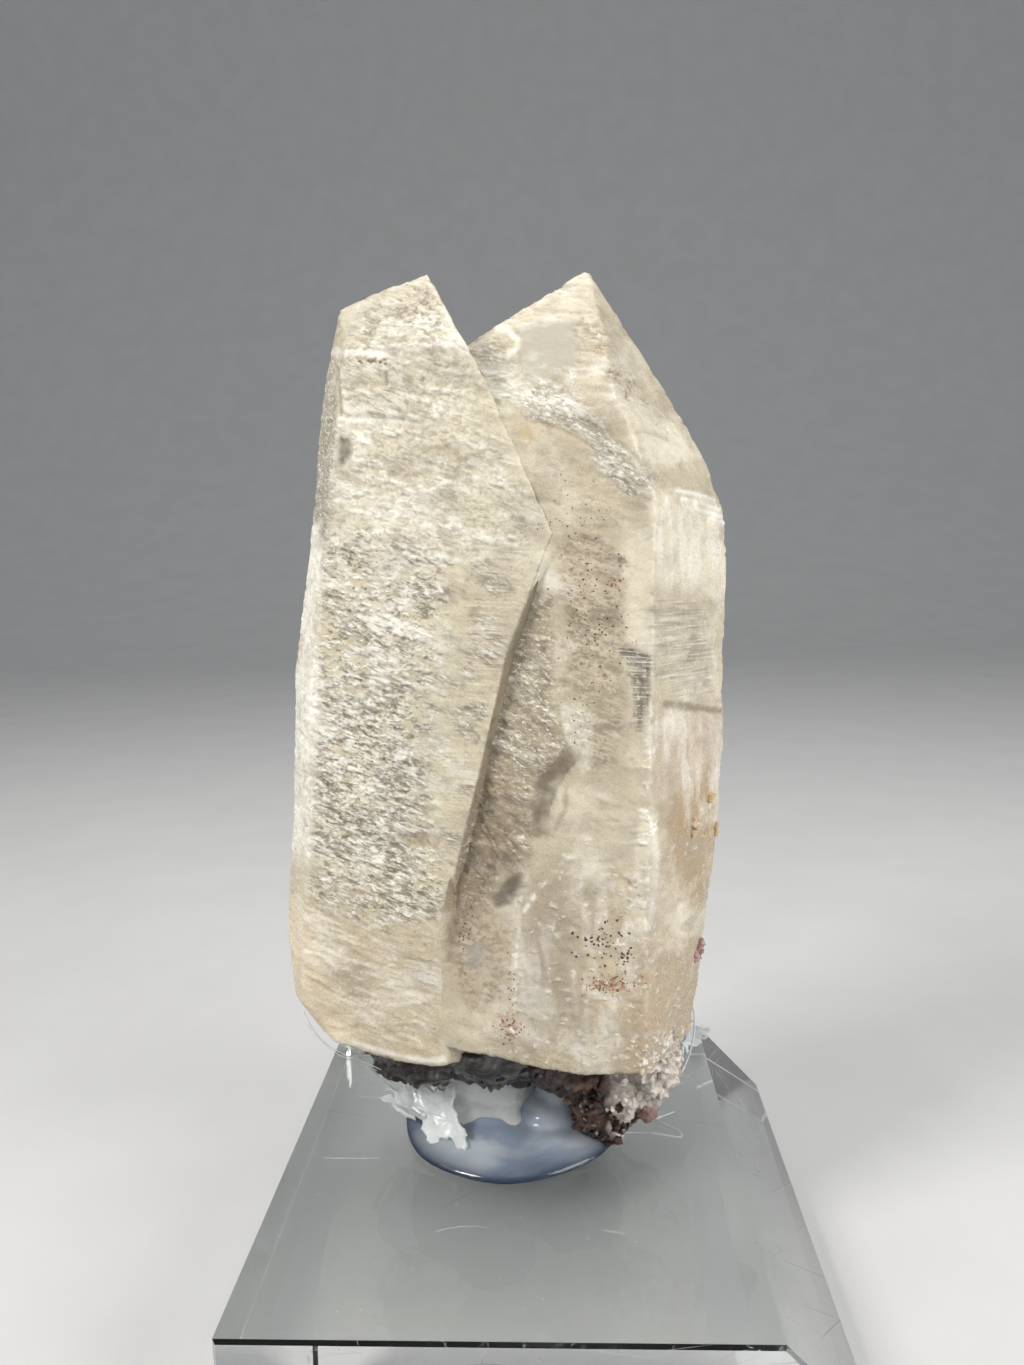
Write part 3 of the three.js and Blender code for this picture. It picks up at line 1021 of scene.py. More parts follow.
LEFT_MARKS = (
    Mark(PALE, 0.5, CLOUDS, dull=0.35),
    Mark(SHADE, 0.22, SHADOWS, dull=0.4),
    Mark(CREAM, 0.0, SWELLS, lift=0.25, dull=0.35, clear=0.1),
    Mark(TAN, 0.12, HAIRS, lift=-0.03),
    Mark(SHADE, 0.28, MOTTLE, lift=-0.1, dull=0.4, frost=0.4),
    Mark(SHADE, 0.3, DRIFTS, lift=-0.05, dull=0.35, clear=0.15),
    Mark(PALE, 0.5, None, (LEFT_TOP,), dull=0.35, frost=0.4),
    Mark(WHITE, 0.6, WISPS, (LEFT_TOP,), lift=0.1, dull=0.4, frost=0.55),
    Mark(TAN, 0.5, CONTOURS, (LEFT_TOP,), lift=-0.08, dull=0.4, frost=0.3),
    Mark(SHADE, 0.45, DRIFTS, (LEFT_TOP,), lift=-0.06, dull=0.35, frost=0.5),
    Mark(SHADE, 0.4, SPECKLE, (LEFT_TOP,), lift=-0.06, dull=0.4, frost=0.5),
    Mark(UMBER, 0.6, CHIPS, (LEFT_TIP,), lift=-0.15, frost=0.4, sparkle=0.6),
    Mark(GREY, 0.35, DRIFTS, (ETCHED,), dull=0.45, frost=0.9),
    Mark(WHITE, 0.55, SPARKS, (ETCHED,), lift=0.08, dull=0.45, frost=1.0),
    Mark(SMOKE, 0.55, FLECKS, (ETCHED,), lift=-0.13, dull=0.35, frost=1.0),
    Mark(WHITE, 0.45, SPARKS, (ETCHED_LOW,), lift=0.06, dull=0.45, frost=1.0),
    Mark(SMOKE, 0.5, SLANTED, (ETCHED_LOW,), lift=-0.13, dull=0.35, frost=1.0),
    Mark(WHITE, 0.5, DRIFTS, (ETCHED, ETCHED_LOW), dull=0.4, frost=0.6),
    Mark(GREY, 0.5, WISPS, (GREY_DRIFT,), dull=0.4, frost=0.6),
    Mark(CREAM, 0.5, None, (CALM_BAND,), frost=0.4, clear=0.1, hairs=0.3),
    Mark(SHADE, 0.6, DRIFTS, (CALM_BAND,), lift=-0.05, frost=0.8, hairs=0.4),
    # Painted shade on the hollow's side face: dark glassy brown, with darker veils.
    Mark((0.23, 0.185, 0.125), 0.95, None, (SHADED_SIDE_STRIP,), dull=0.1, clear=0.3, frost=0.0, calm=0.8),
    Mark((0.14, 0.12, 0.09), 0.6, VEILS, (SHADED_SIDE_STRIP,), dull=0.1, clear=0.4, frost=0.0),
    Mark((0.40, 0.375, 0.32), 0.6, None, (LEFT_SCALES,), dull=0.15, clear=0.2, sparkle=0.9),
    Mark(SMOKE, 0.5, WISPS, (LEFT_SCALES,), lift=-0.15, dull=0.15, sparkle=0.8),
    # Painted light: the narrow left face painted near white; grey flecks on it follow.
    Mark(WHITE, 0.7, None, (LIT_LEFT_STRIP,)),
    Mark(GREY, 0.35, FLECKS, (LIT_LEFT_STRIP,), lift=-0.1, frost=0.4),
    Mark((0.55, 0.465, 0.33), 0.6, None, (LEFT_FOOT,), clear=0.2, frost=0.3),
    Mark(SHADE, 0.35, DRIFTS, (LEFT_FOOT,), clear=0.3, frost=0.35),
    Mark(TAN, 0.3, SCRATCHES, (LEFT_FOOT,), lift=-0.07, frost=0.35),
    Mark(WHITE, 0.3, SCRATCHES, (LEFT_FOOT,), lift=0.05, dull=0.35, frost=0.4),
    Mark(GREY, 0.45, DRIFTS, (FOOT_ETCH,), lift=-0.05, frost=0.9),
    Mark(SMOKE, 0.45, FLECKS, (FOOT_ETCH,), lift=-0.1, frost=1.0),
    Mark(PALE, 0.4, SPARKS, (FOOT_ETCH,), lift=0.05, frost=1.0),
    Mark((0.80, 0.68, 0.48), 0.6, None, (FOOT_GLOW,), clear=0.2),
    Mark(PALE, 0.4, None, (TERRACE,), lift=0.3, dull=0.35, frost=0.6),
    # Painted highlights: white lines where the ledges and the foot's lip catch the light.
    Mark(WHITE, 0.7, None, (UPPER_LEDGE_HIGHLIGHT, LOWER_LEDGE_HIGHLIGHT, FOOT_LIP_HIGHLIGHT), lift=0.08, dull=0.2),
    Mark(UMBER, 0.8, SPECKLE, (LEDGE_SHADE,), lift=-0.25),
    Mark(UMBER, 0.7, None, TERRACE_LINES, lift=-0.15),
    Mark(TAN, 0.6, None, TAN_LINES, lift=-0.12),
    Mark(SMOKE, 0.8, None, (GREY_TRIANGLE,), lift=-0.5, dull=0.15, clear=0.4),
    Mark(TAN, 0.6, None, (SMUDGE,), lift=-0.2, dull=0.4),
    Mark(UMBER, 0.5, SLANTED, (SMUDGE,), lift=-0.1, dull=0.4),
    Mark(LILAC, 0.4, STREAKS, (COMB,), lift=0.1, dull=0.25, clear=0.2, hairs=0.6),
    Mark(SHADE, 0.4, Texture((6, 6, 0.55), 0.02, 0.25, -15, 4), (COMB,), lift=-0.12, hairs=0.8),
    Mark((0.23, 0.175, 0.115), 0.85, None, (STRIP_LOW,), frost=0.6, sparkle=0.3),
    Mark(DARK, 0.5, FLECKS, (STRIP_LOW,), frost=0.9, sparkle=0.4),
    Mark(CREAM, 0.0, None, (SEAM,), calm=0.9),
    Mark(UMBER, 0.6, None, (stroke((-11, 43), (-10.95, 40), (-11, 36.8), width=0.25),), lift=-0.06),
)

# Patches of the right-hand crystal's front and side.
ROUGH_BED = Region(
    ((1.8, 81), (-3, 81), (-6, 70), (-9, 59), (-10, 52), (-11, 47), (-5.6, 47.6),
     (-3, 50), (0, 55), (-1, 57), (0, 61), (2.5, 62.5), (3.9, 65), (2.2, 69), (1.8, 76)), 0.9, 0.9,
)
BROWN_BED = Region(((-9, 64), (-5, 64), (-1.4, 58), (-2, 51.6), (-5.4, 48.4), (-11, 47), (-10.4, 53)), 2.0, 1.0)
WEDGE = Region(
    ((3.9, 64.6), (1.4, 62.6), (0, 60.8), (-1.2, 57), (-1.6, 55.6), (0.2, 55.4), (1.2, 57.6), (1.9, 60.2),
     (4.4, 63.2)), 0.9, 0.9,
)
PANE = Region(((-5.4, 47.8), (-4.3, 49.5), (-3.1, 50.7), (-2, 50.5), (-2.3, 48.2), (-3.2, 46.9), (-4.7, 46.8)), 0.5, 0.4)
BROWN_TONGUE = Region(((-9.4, 53), (-5.6, 50), (-7, 46), (-9.4, 42.6), (-10.5, 39.6), (-10.7, 43), (-10.2, 48)), 0.9, 0.8)
VALLEY_FOOT = Region(((-10, 48), (-5, 47), (-3.4, 44), (-4.2, 36), (-8, 34), (-10.4, 37), (-10.6, 44)), 1.5, 1.0)
GREY_PATCH = Region(((-8, 42.2), (-6.5, 42), (-6.8, 39.4), (-8.3, 39.6)), 0.6, 0.4)
TONGUE = Region(((2.8, 69.8), (4.2, 69.8), (6, 68.3), (6.2, 64), (5.4, 61.6), (4.6, 63.8), (3.2, 66)), 0.5, 0.6)
TONGUE_LINES = (
    stroke((5.2, 65.2), (4.6, 63.6), (3.2, 62), (2, 60), (1.4, 58), width=0.3),
    stroke((3.3, 60.4), (3.1, 57.8), (2, 55.6), width=0.3),
)
FIELD = Region(
    ((2.6, 88), (9, 88), (9.6, 79), (9.2, 69), (8.6, 62), (6.4, 62), (4.4, 68), (3.5, 74), (3.4, 80)), 1.2, 1.4
)
FIELD_LOW = Region(((6.4, 71.5), (9.6, 71.5), (10, 67.8), (8.8, 62.6), (7, 63.2), (6, 68)), 1.0, 1.0)
DARK_SCALE = Region(
    ((9.1, 75.5), (10.5, 76), (12.6, 74.8), (12.6, 71.5), (12.3, 69.1), (11.5, 67.3), (10.9, 69.6),
     (10.7, 72), (10.2, 73.9)), 0.4, 0.5,
)
SCALE_SPIKES = (
    stroke((10.8, 72.4), (10.9, 70.4), (11, 68.4), width=0.35, ragged=0.3),
    stroke((11.6, 72), (11.5, 69.6), (11.4, 66.6), width=0.45, ragged=0.3),
    stroke((12.4, 73.4), (12.4, 71), (12.3, 68.4), width=0.35, ragged=0.3),
    stroke((9.6, 75.3), (11, 74.9), (12.4, 74.2), width=0.3, ragged=0.3),
)
EDGE_BAND = Region(((9.8, 89), (12.6, 89), (12.7, 76), (10.2, 76.4)), 0.9, 0.6)
WINDOW = Region(
    ((-0.9, 109.3), (1.5, 109.9), (5, 109.7), (5.6, 107.6), (4.7, 105.2), (3.6, 104.1), (1.5, 103.3),
     (-0.2, 103.9), (-0.3, 105.4), (-1, 107)), 0.3, 0.4,
)
WINDOW_SIDE = Region(((-5.6, 106.6), (-3.5, 109), (-2.2, 108), (-1, 105.4), (-0.6, 102), (-3.5, 101), (-4.8, 103)), 0.8, 0.8)
WINDOW_RIM = stroke((-2.8, 109.4), (-1.6, 109), (-0.9, 108), (-1, 107.2), (-1.8, 106.8), width=0.6)
RUBBLE = Region(
    ((-0.5, 103.6), (3, 103.6), (5, 104.6), (5.2, 101.6), (7.6, 100), (10, 96.4), (12.8, 94), (12.6, 91.6),
     (9.4, 92.6), (7, 96.6), (4.6, 99.2), (1.6, 99.4), (-0.6, 101.4)), 0.7, 0.9,
)
TIP_TAN = Region(
    ((5, 111), (7, 110.6), (8.8, 108.8), (9.4, 106.2), (11.4, 103.6), (12.6, 100.8), (10.6, 102), (8.6, 104.4),
     (7, 107), (5.4, 108)), 1.0, 1.0,
)
TIP_CHIPS = (
    stroke((8.8, 104.6), (9.8, 103.9), (10.8, 104), width=0.8),
    stroke((10.2, 102.3), (11.2, 101.6), (12.4, 101.4), width=0.7),
    stroke((13.6, 99.8), (14.6, 98.9), (15, 98.4), width=0.9),
)
PALE_PLATE = Region(((10, 102), (13, 100.8), (15.4, 99), (17.8, 95.6), (14.6, 94.8), (12.4, 96), (10.8, 98.4)), 0.8, 0.8)
TIP_LINES = (
    stroke((8, 99.4), (9.6, 97.4), (11.6, 95.6), (12.6, 95.2)),
    stroke((11.2, 98.4), (13.2, 98.2), (14.6, 97.6), width=0.3),
    stroke((0.8, 99.9), (3, 99.2), (5, 98.2), (7, 96.8), width=0.35),
)
OCHRE_SMEAR = Region(((-0.9, 99.3), (0.6, 99.3), (0.7, 98), (-0.7, 98)), 0.8, 0.5)
RUST_SPOT = Region(((8, 83.6), (9.4, 83.4), (9.8, 82), (8.6, 82)), 0.6, 0.4)
TAN_FRONT = Region(((4, 97), (8, 96), (12, 91), (12, 86), (4, 86), (0, 92), (1, 97)), 2.0, 1.4)
SIDE_HAIRS = Region(((13, 80.6), (18.4, 80.4), (19.4, 75), (19, 70.4), (15.4, 70.6), (13.2, 73.6)), 0.9, 0.9)
SIDE_PALE = Region(((13, 92), (20.4, 91), (20.6, 82), (13, 82)), 1.4, 0.9)
SIDE_VEILS = Region(((12.6, 69), (20, 67.6), (19, 56), (16.4, 56), (13.4, 58), (12.4, 62)), 1.4, 1.0)
SIDE_OCHRE = Region(((13.6, 58), (19.6, 62), (19.6, 55), (18.8, 47.6), (15.6, 46.8), (14.6, 52)), 1.2, 1.0)
SIDE_LINES = (
    stroke((12.8, 79.5), (17.9, 79.2), width=0.15, soft=0.2),
    stroke((13.3, 78.4), (16.7, 78.1), width=0.12, soft=0.2),
    stroke((13.5, 75.9), (18.1, 75.3), width=0.25, soft=0.2),
    stroke((14.0, 75.1), (18.3, 74.3), width=0.15, soft=0.2),
    stroke((13.1, 80.7), (16.7, 80.4), width=0.1, soft=0.2),
)
SIDE_STRIAE = (
    stroke((15.6, 92.4), (19.4, 91.2), width=0.35),
    stroke((16.2, 91.5), (20, 90.2), width=0.25),
    stroke((16.7, 90.6), (20.4, 89.4), width=0.35),
    stroke((18.6, 89.5), (20.6, 88.8), width=0.2),
)
LENS = Region(
    ((11.2, 58.4), (12.7, 57), (13.2, 55), (13.2, 48), (12.6, 45), (11.4, 44.8), (10.6, 47), (10.9, 50),
     (10.6, 55)), 0.35, 0.7,
)
LENS_TAIL = Region(((9.2, 45.6), (12.6, 45), (12.2, 42.6), (11, 40), (9.6, 38.6), (8.9, 41.4)), 0.5, 0.6)
# Painted highlight: a white line down the lens's right edge.
LENS_EDGE_HIGHLIGHT = stroke((11.6, 57.7), (12.8, 56), (13.1, 53), (12.9, 48), (12.3, 44), (10.6, 40.4), width=0.35, ragged=0.25)
LENS_VEIL = Region(((8.4, 54), (10.6, 56), (10.6, 46), (8.6, 46)), 0.9, 0.7)
SHIELD = Region(
    ((0.8, 48.8), (-2.1, 45.7), (-3.1, 38), (-3.4, 31), (-3, 28), (6, 26), (9, 32), (8, 44), (7.4, 50),
     (4, 52.8)), 1.0, 1.0,
)
SHIELD_RIDGE = stroke(
    (0.9, 49.6), (-0.8, 47.6), (-2.2, 45.6), (-2.7, 42), (-2.9, 39), (-3.2, 35), (-3.4, 31.6), width=0.4
)
SHIELD_TOP = stroke((0.9, 49.8), (2.8, 52), (5.4, 54.4), width=0.9, soft=0.5)
VEIL_LEFT = Region(((-2.2, 45.6), (-0.6, 47), (1, 44), (1, 38), (-1, 35), (-3, 33.6), (-3, 40)), 1.0, 0.8)
VEIL_RIGHT = Region(
    ((3, 35), (5.2, 40), (5.4, 36), (8, 35), (9.4, 37), (10.4, 33), (9.4, 29), (7.6, 29.4), (6.4, 33), (4, 28.6),
     (1, 30)), 1.2, 1.0,
)
LOWER = Region(((-4, 50), (13, 52), (12, 26), (-4, 26)), 3.0, 1.5)
LOW_SHADE = Region(((-2, 48), (2, 50), (3.8, 45), (3.2, 36), (-1.4, 35)), 1.6, 1.4)
BLUSH = Region(((11, 42), (20, 42), (18.4, 32), (15, 24), (9, 24), (10, 34)), 2.0, 1.2)
FOOT_DRUSE = Region(((10.6, 30), (15.6, 32), (16, 27), (14, 23), (11, 25)), 1.2, 1.2)
RUSTY = Region(((5.2, 38.7), (8, 38.6), (10.4, 38.4), (10.6, 36.6), (8, 36), (5.4, 37)), 0.7, 0.6)
RUSTY_LOW = Region(((-5, 34), (-3.2, 34), (-2.4, 31.4), (-3.4, 30), (-5.2, 30.6)), 0.7, 0.6)
CRACK = stroke((-6.9, 45.1), (-6.4, 44.2), (-5.7, 43.6), (-5, 43.7), width=0.22)
SPECK_LINE = stroke((-8.4, 47.6), (-8.2, 45), (-8.3, 42.4), (-9.4, 38.6), width=0.6)
SIDE_GROOVE = stroke((14.5, 69.5), (16.4, 69.2), (20.6, 68.6), width=0.7)
LENS_TOP_EDGE = stroke((12.7, 68), (12.2, 63), (12, 60), (12.4, 58), width=1.0)
DARK_SPOTS = (stroke((10.3, 49.4), (10.9, 47.9), width=1.0), stroke((9.6, 85.2), (9.9, 84.4), width=0.9))

RIGHT_MARKS = (
    Mark(PALE, 0.4, CLOUDS, dull=0.35, clear=0.1),
    Mark(SHADE, 0.22, SHADOWS, dull=0.35, clear=0.1),
    Mark(CREAM, 0.0, SWELLS, lift=0.25, dull=0.35, clear=0.1),
    Mark(TAN, 0.14, HAIRS, lift=-0.03),
    Mark(SHADE, 0.3, MOTTLE, lift=-0.1, dull=0.4, frost=0.35),
    Mark(SHADE, 0.24, DRIFTS, lift=-0.05, dull=0.3, clear=0.2),
    Mark(TAN, 0.12, WISPS, (TAN_FRONT,), lift=-0.05, dull=0.4, frost=0.4),
    Mark(UMBER, 0.22, SPECKLE, (TAN_FRONT,), lift=-0.05, dull=0.4, frost=0.4),
    Mark((0.50, 0.42, 0.29), 0.75, None, (FIELD,), lift=-0.1, dull=0.4, frost=0.5),
    Mark((0.28, 0.23, 0.145), 0.65, DRIFTS, (FIELD,), lift=-0.05, dull=0.4, frost=0.5),
    Mark(UMBER, 0.55, CRACKLE, (FIELD,), lift=-0.05, dull=0.4, frost=0.5),
    Mark(UMBER, 0.6, SPECKLE, (FIELD,), lift=-0.05, dull=0.4, frost=0.5),
    Mark((0.34, 0.29, 0.19), 0.6, None, (FIELD_LOW,), dull=0.4, frost=0.5),
    Mark((0.38, 0.31, 0.205), 0.8, None, (ROUGH_BED,), frost=0.4, clear=0.2, sparkle=0.5),
    Mark((0.23, 0.19, 0.135), 0.55, SPLINTERS, (ROUGH_BED,), lift=-0.12, dull=0.25, frost=0.4, clear=0.2, sparkle=0.9),
    Mark(PALE, 0.4, WISPS, (ROUGH_BED,), lift=0.08, dull=0.2, frost=0.5, sparkle=1.0),
    Mark((0.23, 0.165, 0.095), 0.85, None, (BROWN_BED,), dull=0.4, frost=0.35, sparkle=0.15),
    Mark(DARK, 0.6, Texture((3.2, 3.2, 0.5), 0.02, 0.3, -52, 4, keep=0.6, warp=0.5), (BROWN_BED,), lift=-0.12, frost=0.4, sparkle=0.2),
    Mark((0.12, 0.088, 0.052), 0.85, None, (WEDGE,), lift=-0.15, dull=0.4, clear=0.1, frost=0.35, calm=0.7),
    Mark((0.42, 0.335, 0.21), 0.45, WISPS, (BROWN_BED,), lift=0.08, dull=0.3, frost=0.4, sparkle=0.4),
    Mark((0.42, 0.34, 0.235), 0.6, None, (VALLEY_FOOT,), clear=0.2, frost=0.3),
    Mark(UMBER, 0.6, SPECKLE, (VALLEY_FOOT, SPECK_LINE), lift=-0.08),
    Mark((0.42, 0.40, 0.37), 0.7, None, (GREY_PATCH,), dull=0.15, clear=0.4),
    Mark(WHITE, 0.35, None, (TONGUE,), lift=0.12, dull=0.25, calm=0.5, sparkle=0.5),
    Mark(DARK, 0.4, None, (*TONGUE_LINES, CRACK), lift=-0.08),
    Mark((0.27, 0.24, 0.19), 0.7, None, (DARK_SCALE,), lift=-0.15, dull=0.15, hairs=1.0, sparkle=0.5),
    Mark(DARK, 0.55, Texture((2.0, 2.0, 0.45), -0.05, 0.3, -8, 4, warp=0.4), (DARK_SCALE,), lift=-0.12, dull=0.12, hairs=1.0, sparkle=0.5),
    Mark(DARK, 0.6, None, SCALE_SPIKES, lift=-0.12, dull=0.12, hairs=0.9, sparkle=0.4),
    Mark(PALE, 0.5, None, (EDGE_BAND,), dull=0.25, frost=0.1),
    Mark(WHITE, 0.5, WISPS, (LENS_TOP_EDGE,), lift=0.1, dull=0.2, sparkle=1.0),
    Mark((0.40, 0.365, 0.285), 0.85, None, (WINDOW,), lift=0.3, frost=0.0, dull=0.1, clear=0.15, calm=0.95),
    Mark(OLIVE, 0.65, None, (WINDOW_SIDE,), dull=0.15, clear=0.4, sparkle=0.4),
    Mark(WHITE, 0.4, WISPS, (WINDOW_SIDE,), lift=0.1, dull=0.15, clear=0.2, sparkle=0.7),
    Mark(WHITE, 0.55, None, (WINDOW_RIM,), lift=0.1, dull=0.1),
    Mark((0.55, 0.51, 0.43), 0.6, None, (RUBBLE,), dull=0.2, frost=0.4, clear=0.2, sparkle=0.8),
    Mark(SMOKE, 0.45, SPLINTERS, (RUBBLE,), lift=-0.14, dull=0.15, frost=0.4, clear=0.2, sparkle=0.9),
    Mark(WHITE, 0.6, WISPS, (RUBBLE,), lift=0.1, dull=0.15, frost=0.5, sparkle=1.0),
    Mark(TAN, 0.55, WISPS, (TIP_TAN,), lift=-0.1, dull=0.35, frost=0.4),
    Mark(UMBER, 0.5, CHIPS, (TIP_TAN,), lift=-0.15),
    Mark(DARK, 0.75, CHIPS, TIP_CHIPS, lift=-0.35),
    Mark(PALE, 0.75, None, (PALE_PLATE,), lift=0.15, dull=0.2, frost=0.1),
    Mark(TAN, 0.6, None, TIP_LINES, lift=-0.2),
    Mark(OCHRE, 0.55, None, (OCHRE_SMEAR,), dull=0.35),
    Mark(RUST, 0.5, GLINTS, (RUST_SPOT,), dull=0.35),
    Mark(PALE, 0.6, None, (SIDE_PALE,)),
    Mark(CREAM, 0.3, WISPS, (SIDE_HAIRS,), dull=0.2),
    Mark(GREY, 0.3, None, (SIDE_HAIRS,), dull=0.25, hairs=0.5),
    Mark(UMBER, 0.85, None, (SIDE_GROOVE,), lift=-0.2),
    Mark(WHITE, 0.4, VEILS, (SIDE_VEILS,), dull=0.25, clear=0.2),
    Mark(PINK, 0.4, None, (SIDE_VEILS,), dull=0.25, clear=0.2),
    Mark((0.42, 0.30, 0.165), 0.95, None, (SIDE_OCHRE,), clear=0.2),
    Mark((0.50, 0.38, 0.28), 0.4, DRIFTS, (SIDE_OCHRE, BLUSH), clear=0.3),
    Mark(PALE, 0.6, None, (LENS,), lift=-0.15, dull=0.15, frost=0.2),
    Mark(SMOKE, 0.55, VEILS, (LENS,), lift=-0.12, dull=0.1, frost=0.3, clear=0.2, sparkle=0.6),
    Mark(WHITE, 0.85, WISPS, (LENS,), lift=0.1, dull=0.1, frost=0.4, sparkle=1.0),
    # The lens's white tail, and a painted highlight along its right edge.
    Mark(WHITE, 0.75, None, (LENS_TAIL, LENS_EDGE_HIGHLIGHT), lift=0.1, dull=0.2, sparkle=0.6),
    Mark(LILAC, 0.4, VEILS, (LENS_VEIL,), dull=0.2, clear=0.3),
    Mark(DARK, 0.6, CHIPS, DARK_SPOTS, lift=-0.2, dull=0.2),
    Mark(CREAM, 0.2, None, (SHIELD,), lift=0.2, clear=0.2),
    Mark((0.53, 0.435, 0.30), 0.6, None, (LOWER,), clear=0.25, frost=0.1),
    Mark(WHITE, 0.35, VEILS, (LOWER,), lift=0.04, clear=0.2),
    Mark((0.33, 0.27, 0.20), 0.35, Texture((3.5, 3.5, 6), 0.0, 0.45, 6, 5, warp=0.6), (LOWER,), dull=0.2, clear=0.35),
    Mark((0.33, 0.27, 0.20), 0.5, None, (LOW_SHADE,), clear=0.35, frost=0.1),
    Mark(LILAC, 0.5, VEILS, (VEIL_LEFT, VEIL_RIGHT), lift=0.08, dull=0.2, clear=0.2),
    Mark(WHITE, 0.6, Texture((1.4, 1.4, 1.8), -0.3, 0.3, 0, 3), (SHIELD_RIDGE,), lift=0.2, dull=0.15),
    Mark(WHITE, 0.35, WISPS, (SHIELD_TOP,), lift=0.15, dull=0.15, sparkle=0.6),
    Mark((0.48, 0.37, 0.245), 0.9, None, (BLUSH,), clear=0.25),
    Mark(SHADE, 0.4, SPECKLE, (BLUSH,), lift=-0.08),
    Mark(RUST, 0.65, SPECKLE, (RUSTY, RUSTY_LOW), lift=-0.05),
    Mark(WHITE, 0.9, GLINTS, (FOOT_DRUSE,), lift=0.2, dull=0.1, sparkle=1.0),
    Mark((0.22, 0.16, 0.095), 0.8, None, (BROWN_TONGUE,), dull=0.4, frost=0.4, sparkle=0.15),
    Mark(DARK, 0.5, Texture((2.4, 2.4, 0.45), 0.02, 0.3, -66, 4, warp=0.4), (BROWN_TONGUE,), lift=-0.06, frost=0.6),
    Mark(SMOKE, 0.45, DRIFTS, (SIDE_HAIRS,), lift=-0.05, hairs=0.7),
    Mark(UMBER, 0.55, None, SIDE_LINES, lift=-0.1, hairs=0.6),
    Mark(SHADE, 0.35, DRIFTS, (SIDE_PALE, SIDE_VEILS, SIDE_OCHRE, BLUSH), lift=-0.05, frost=0.3, clear=0.15),
    Mark(WHITE, 0.35, VEILS, (SIDE_PALE, SIDE_VEILS), lift=0.04, clear=0.1, sparkle=0.2),
    Mark(WHITE, 1.0, None, SIDE_STRIAE, lift=0.15, dull=0.1),
    Mark(SHADE, 0.35, CRACKLE, (LOWER, BLUSH, SIDE_OCHRE), dull=0.3, clear=0.2),
    # Painted glints: sparse white spots over the lower front and the side.
    Mark(WHITE, 0.5, SPARSE_GLINTS, (LOWER, BLUSH, SIDE_OCHRE), dull=0.15, clear=0.2, sparkle=0.8),
    Mark(CREAM, 0.0, None, (SEAM,), calm=0.9, lift=0.12),
    Mark(UMBER, 0.4, None, (stroke((-11.3, 43.6), (-11.3, 40), (-11.4, 36.8), width=0.15),)),
    Mark((0.11, 0.085, 0.055), 0.95, None, (PANE,), dull=0.6, calm=0.5),
)


@dataclass
class LeftCrystal(Crystal):
    """The broad left-hand crystal, whose side leans under, less and less towards the foot."""

    chip_depth: float = 0.08
    chip_white: float = 0.12
    sides: tuple[Face, ...] = (
        Face(-33, -19.7, (-3, -7.81, 75.5)),
        Face(-33, -12.4, (-3, -7.81, 75.5)),
        Face(-33, -2, (-10.9, -7.8, 37)),
    )

    def bodies(self) -> list[tuple[Face, ...]]:
        """The solids, one with each side, that the remesh joins."""
        return [(*self.faces, side) for side in self.sides]


@dataclass
class RightCrystal(Crystal):
    """The right-hand prism, with the hollow beside the left-hand crystal."""

    rim: Outline = ((2.6, 86.5), (4.6, 76.6), (4.9, 65.4), (2.6, 58.5), (-1, 50.2), (-9.8, 44))
    bed: Outline = ((-1.4, 80), (-5.1, 68), (-7.8, 57), (-9.7, 52))
    depth: float = 1.4

    def solid(self) -> bpy.types.Mesh:
        """The crystal with the hollow cut out."""
        corners = self.lifted(self.rim, 0) + self.lifted(self.bed, -self.depth)
        corners += self.lifted(self.rim, 2) + self.lifted(self.bed, 2)
        return cut_away(super().solid(), hull(corners))

    def lifted(self, outline: Outline, height: float) -> list[Vector]:
        """An outline laid on the front face and lifted off it.

        Args:
            outline: The outline, as x and z.
            height: How far it is lifted, in millimetres.

        Returns:
            Its corners.
        """
        front = self.faces[0]
        out, base = front.normal(), Vector(front.point)
        deep = [base.y - (out.x * (x - base.x) + out.z * (z - base.z)) / out.y for x, z in outline]
        return [Vector((x, y, z)) + out * height for (x, z), y in zip(outline, deep)]


@dataclass
class Root(Rock):
    """The lumps of dark, crystalline rock that the crystals stand on."""

    lumps: tuple[tuple[Point, Point], ...] = (
        ((-15, 5, 25), (7.5, 8, 4.4)),
        ((-6, 7.5, 24), (9.5, 9.5, 4.8)),
        ((-7, -1.5, 27), (6, 4, 3.4)),
        ((3.5, 6, 23.5), (7.5, 9, 5)),
        ((6.9, 0.6, 17.9), (3.4, 3.0, 3.8)),
        ((11.5, 1.2, 18.6), (1.8, 2, 1.9)),
        ((13.0, -1.2, 25.0), (3.2, 3.6, 4.6)),
        ((9.4, -0.6, 22.4), (3.6, 3.4, 4.2)),
    )

    def solid(self) -> bpy.types.Mesh:
        """The lumps as balls that the remesh joins."""
        bm = bmesh.new()
        for centre, radii in self.lumps:
            shape = Matrix.Translation(centre) @ Matrix.Diagonal((*radii, 1.0))
            bmesh.ops.create_icosphere(bm, subdivisions=4, radius=1.0, matrix=shape)
        return mesh_of(bm, self.name, False, MM)


# Painted shade: the root under the left crystal's lip, near black where it lies in shadow.
SHADED_ROOT_LEFT = Region(((-26, 32), (-12, 30), (-12, 18), (-26, 18)), 1.5, 1.0)
ROOT_CENTRE = Region(((-13, 30), (-1, 31), (-0.6, 22), (-8, 20), (-13, 20)), 1.0, 0.8)
ROOT_KNOB = Region(((-1, 29), (4.4, 28), (8.2, 26), (8.6, 22), (8.4, 17), (2, 17), (-1, 22)), 1.0, 1.0)
ROOT_PINK = Region(((8, 30), (17, 33), (17, 22), (12.6, 22), (10.6, 18), (8.6, 18.4)), 1.0, 0.8)
ROOT_BEAD = Region(((10.4, 22.6), (12.8, 22.6), (12.6, 20.4), (10.4, 20.4)), 0.6, 0.3)
FOLDS = Texture((3.4, 3.4, 2.0), -0.05, 0.5, 0, 3, warp=0.8)
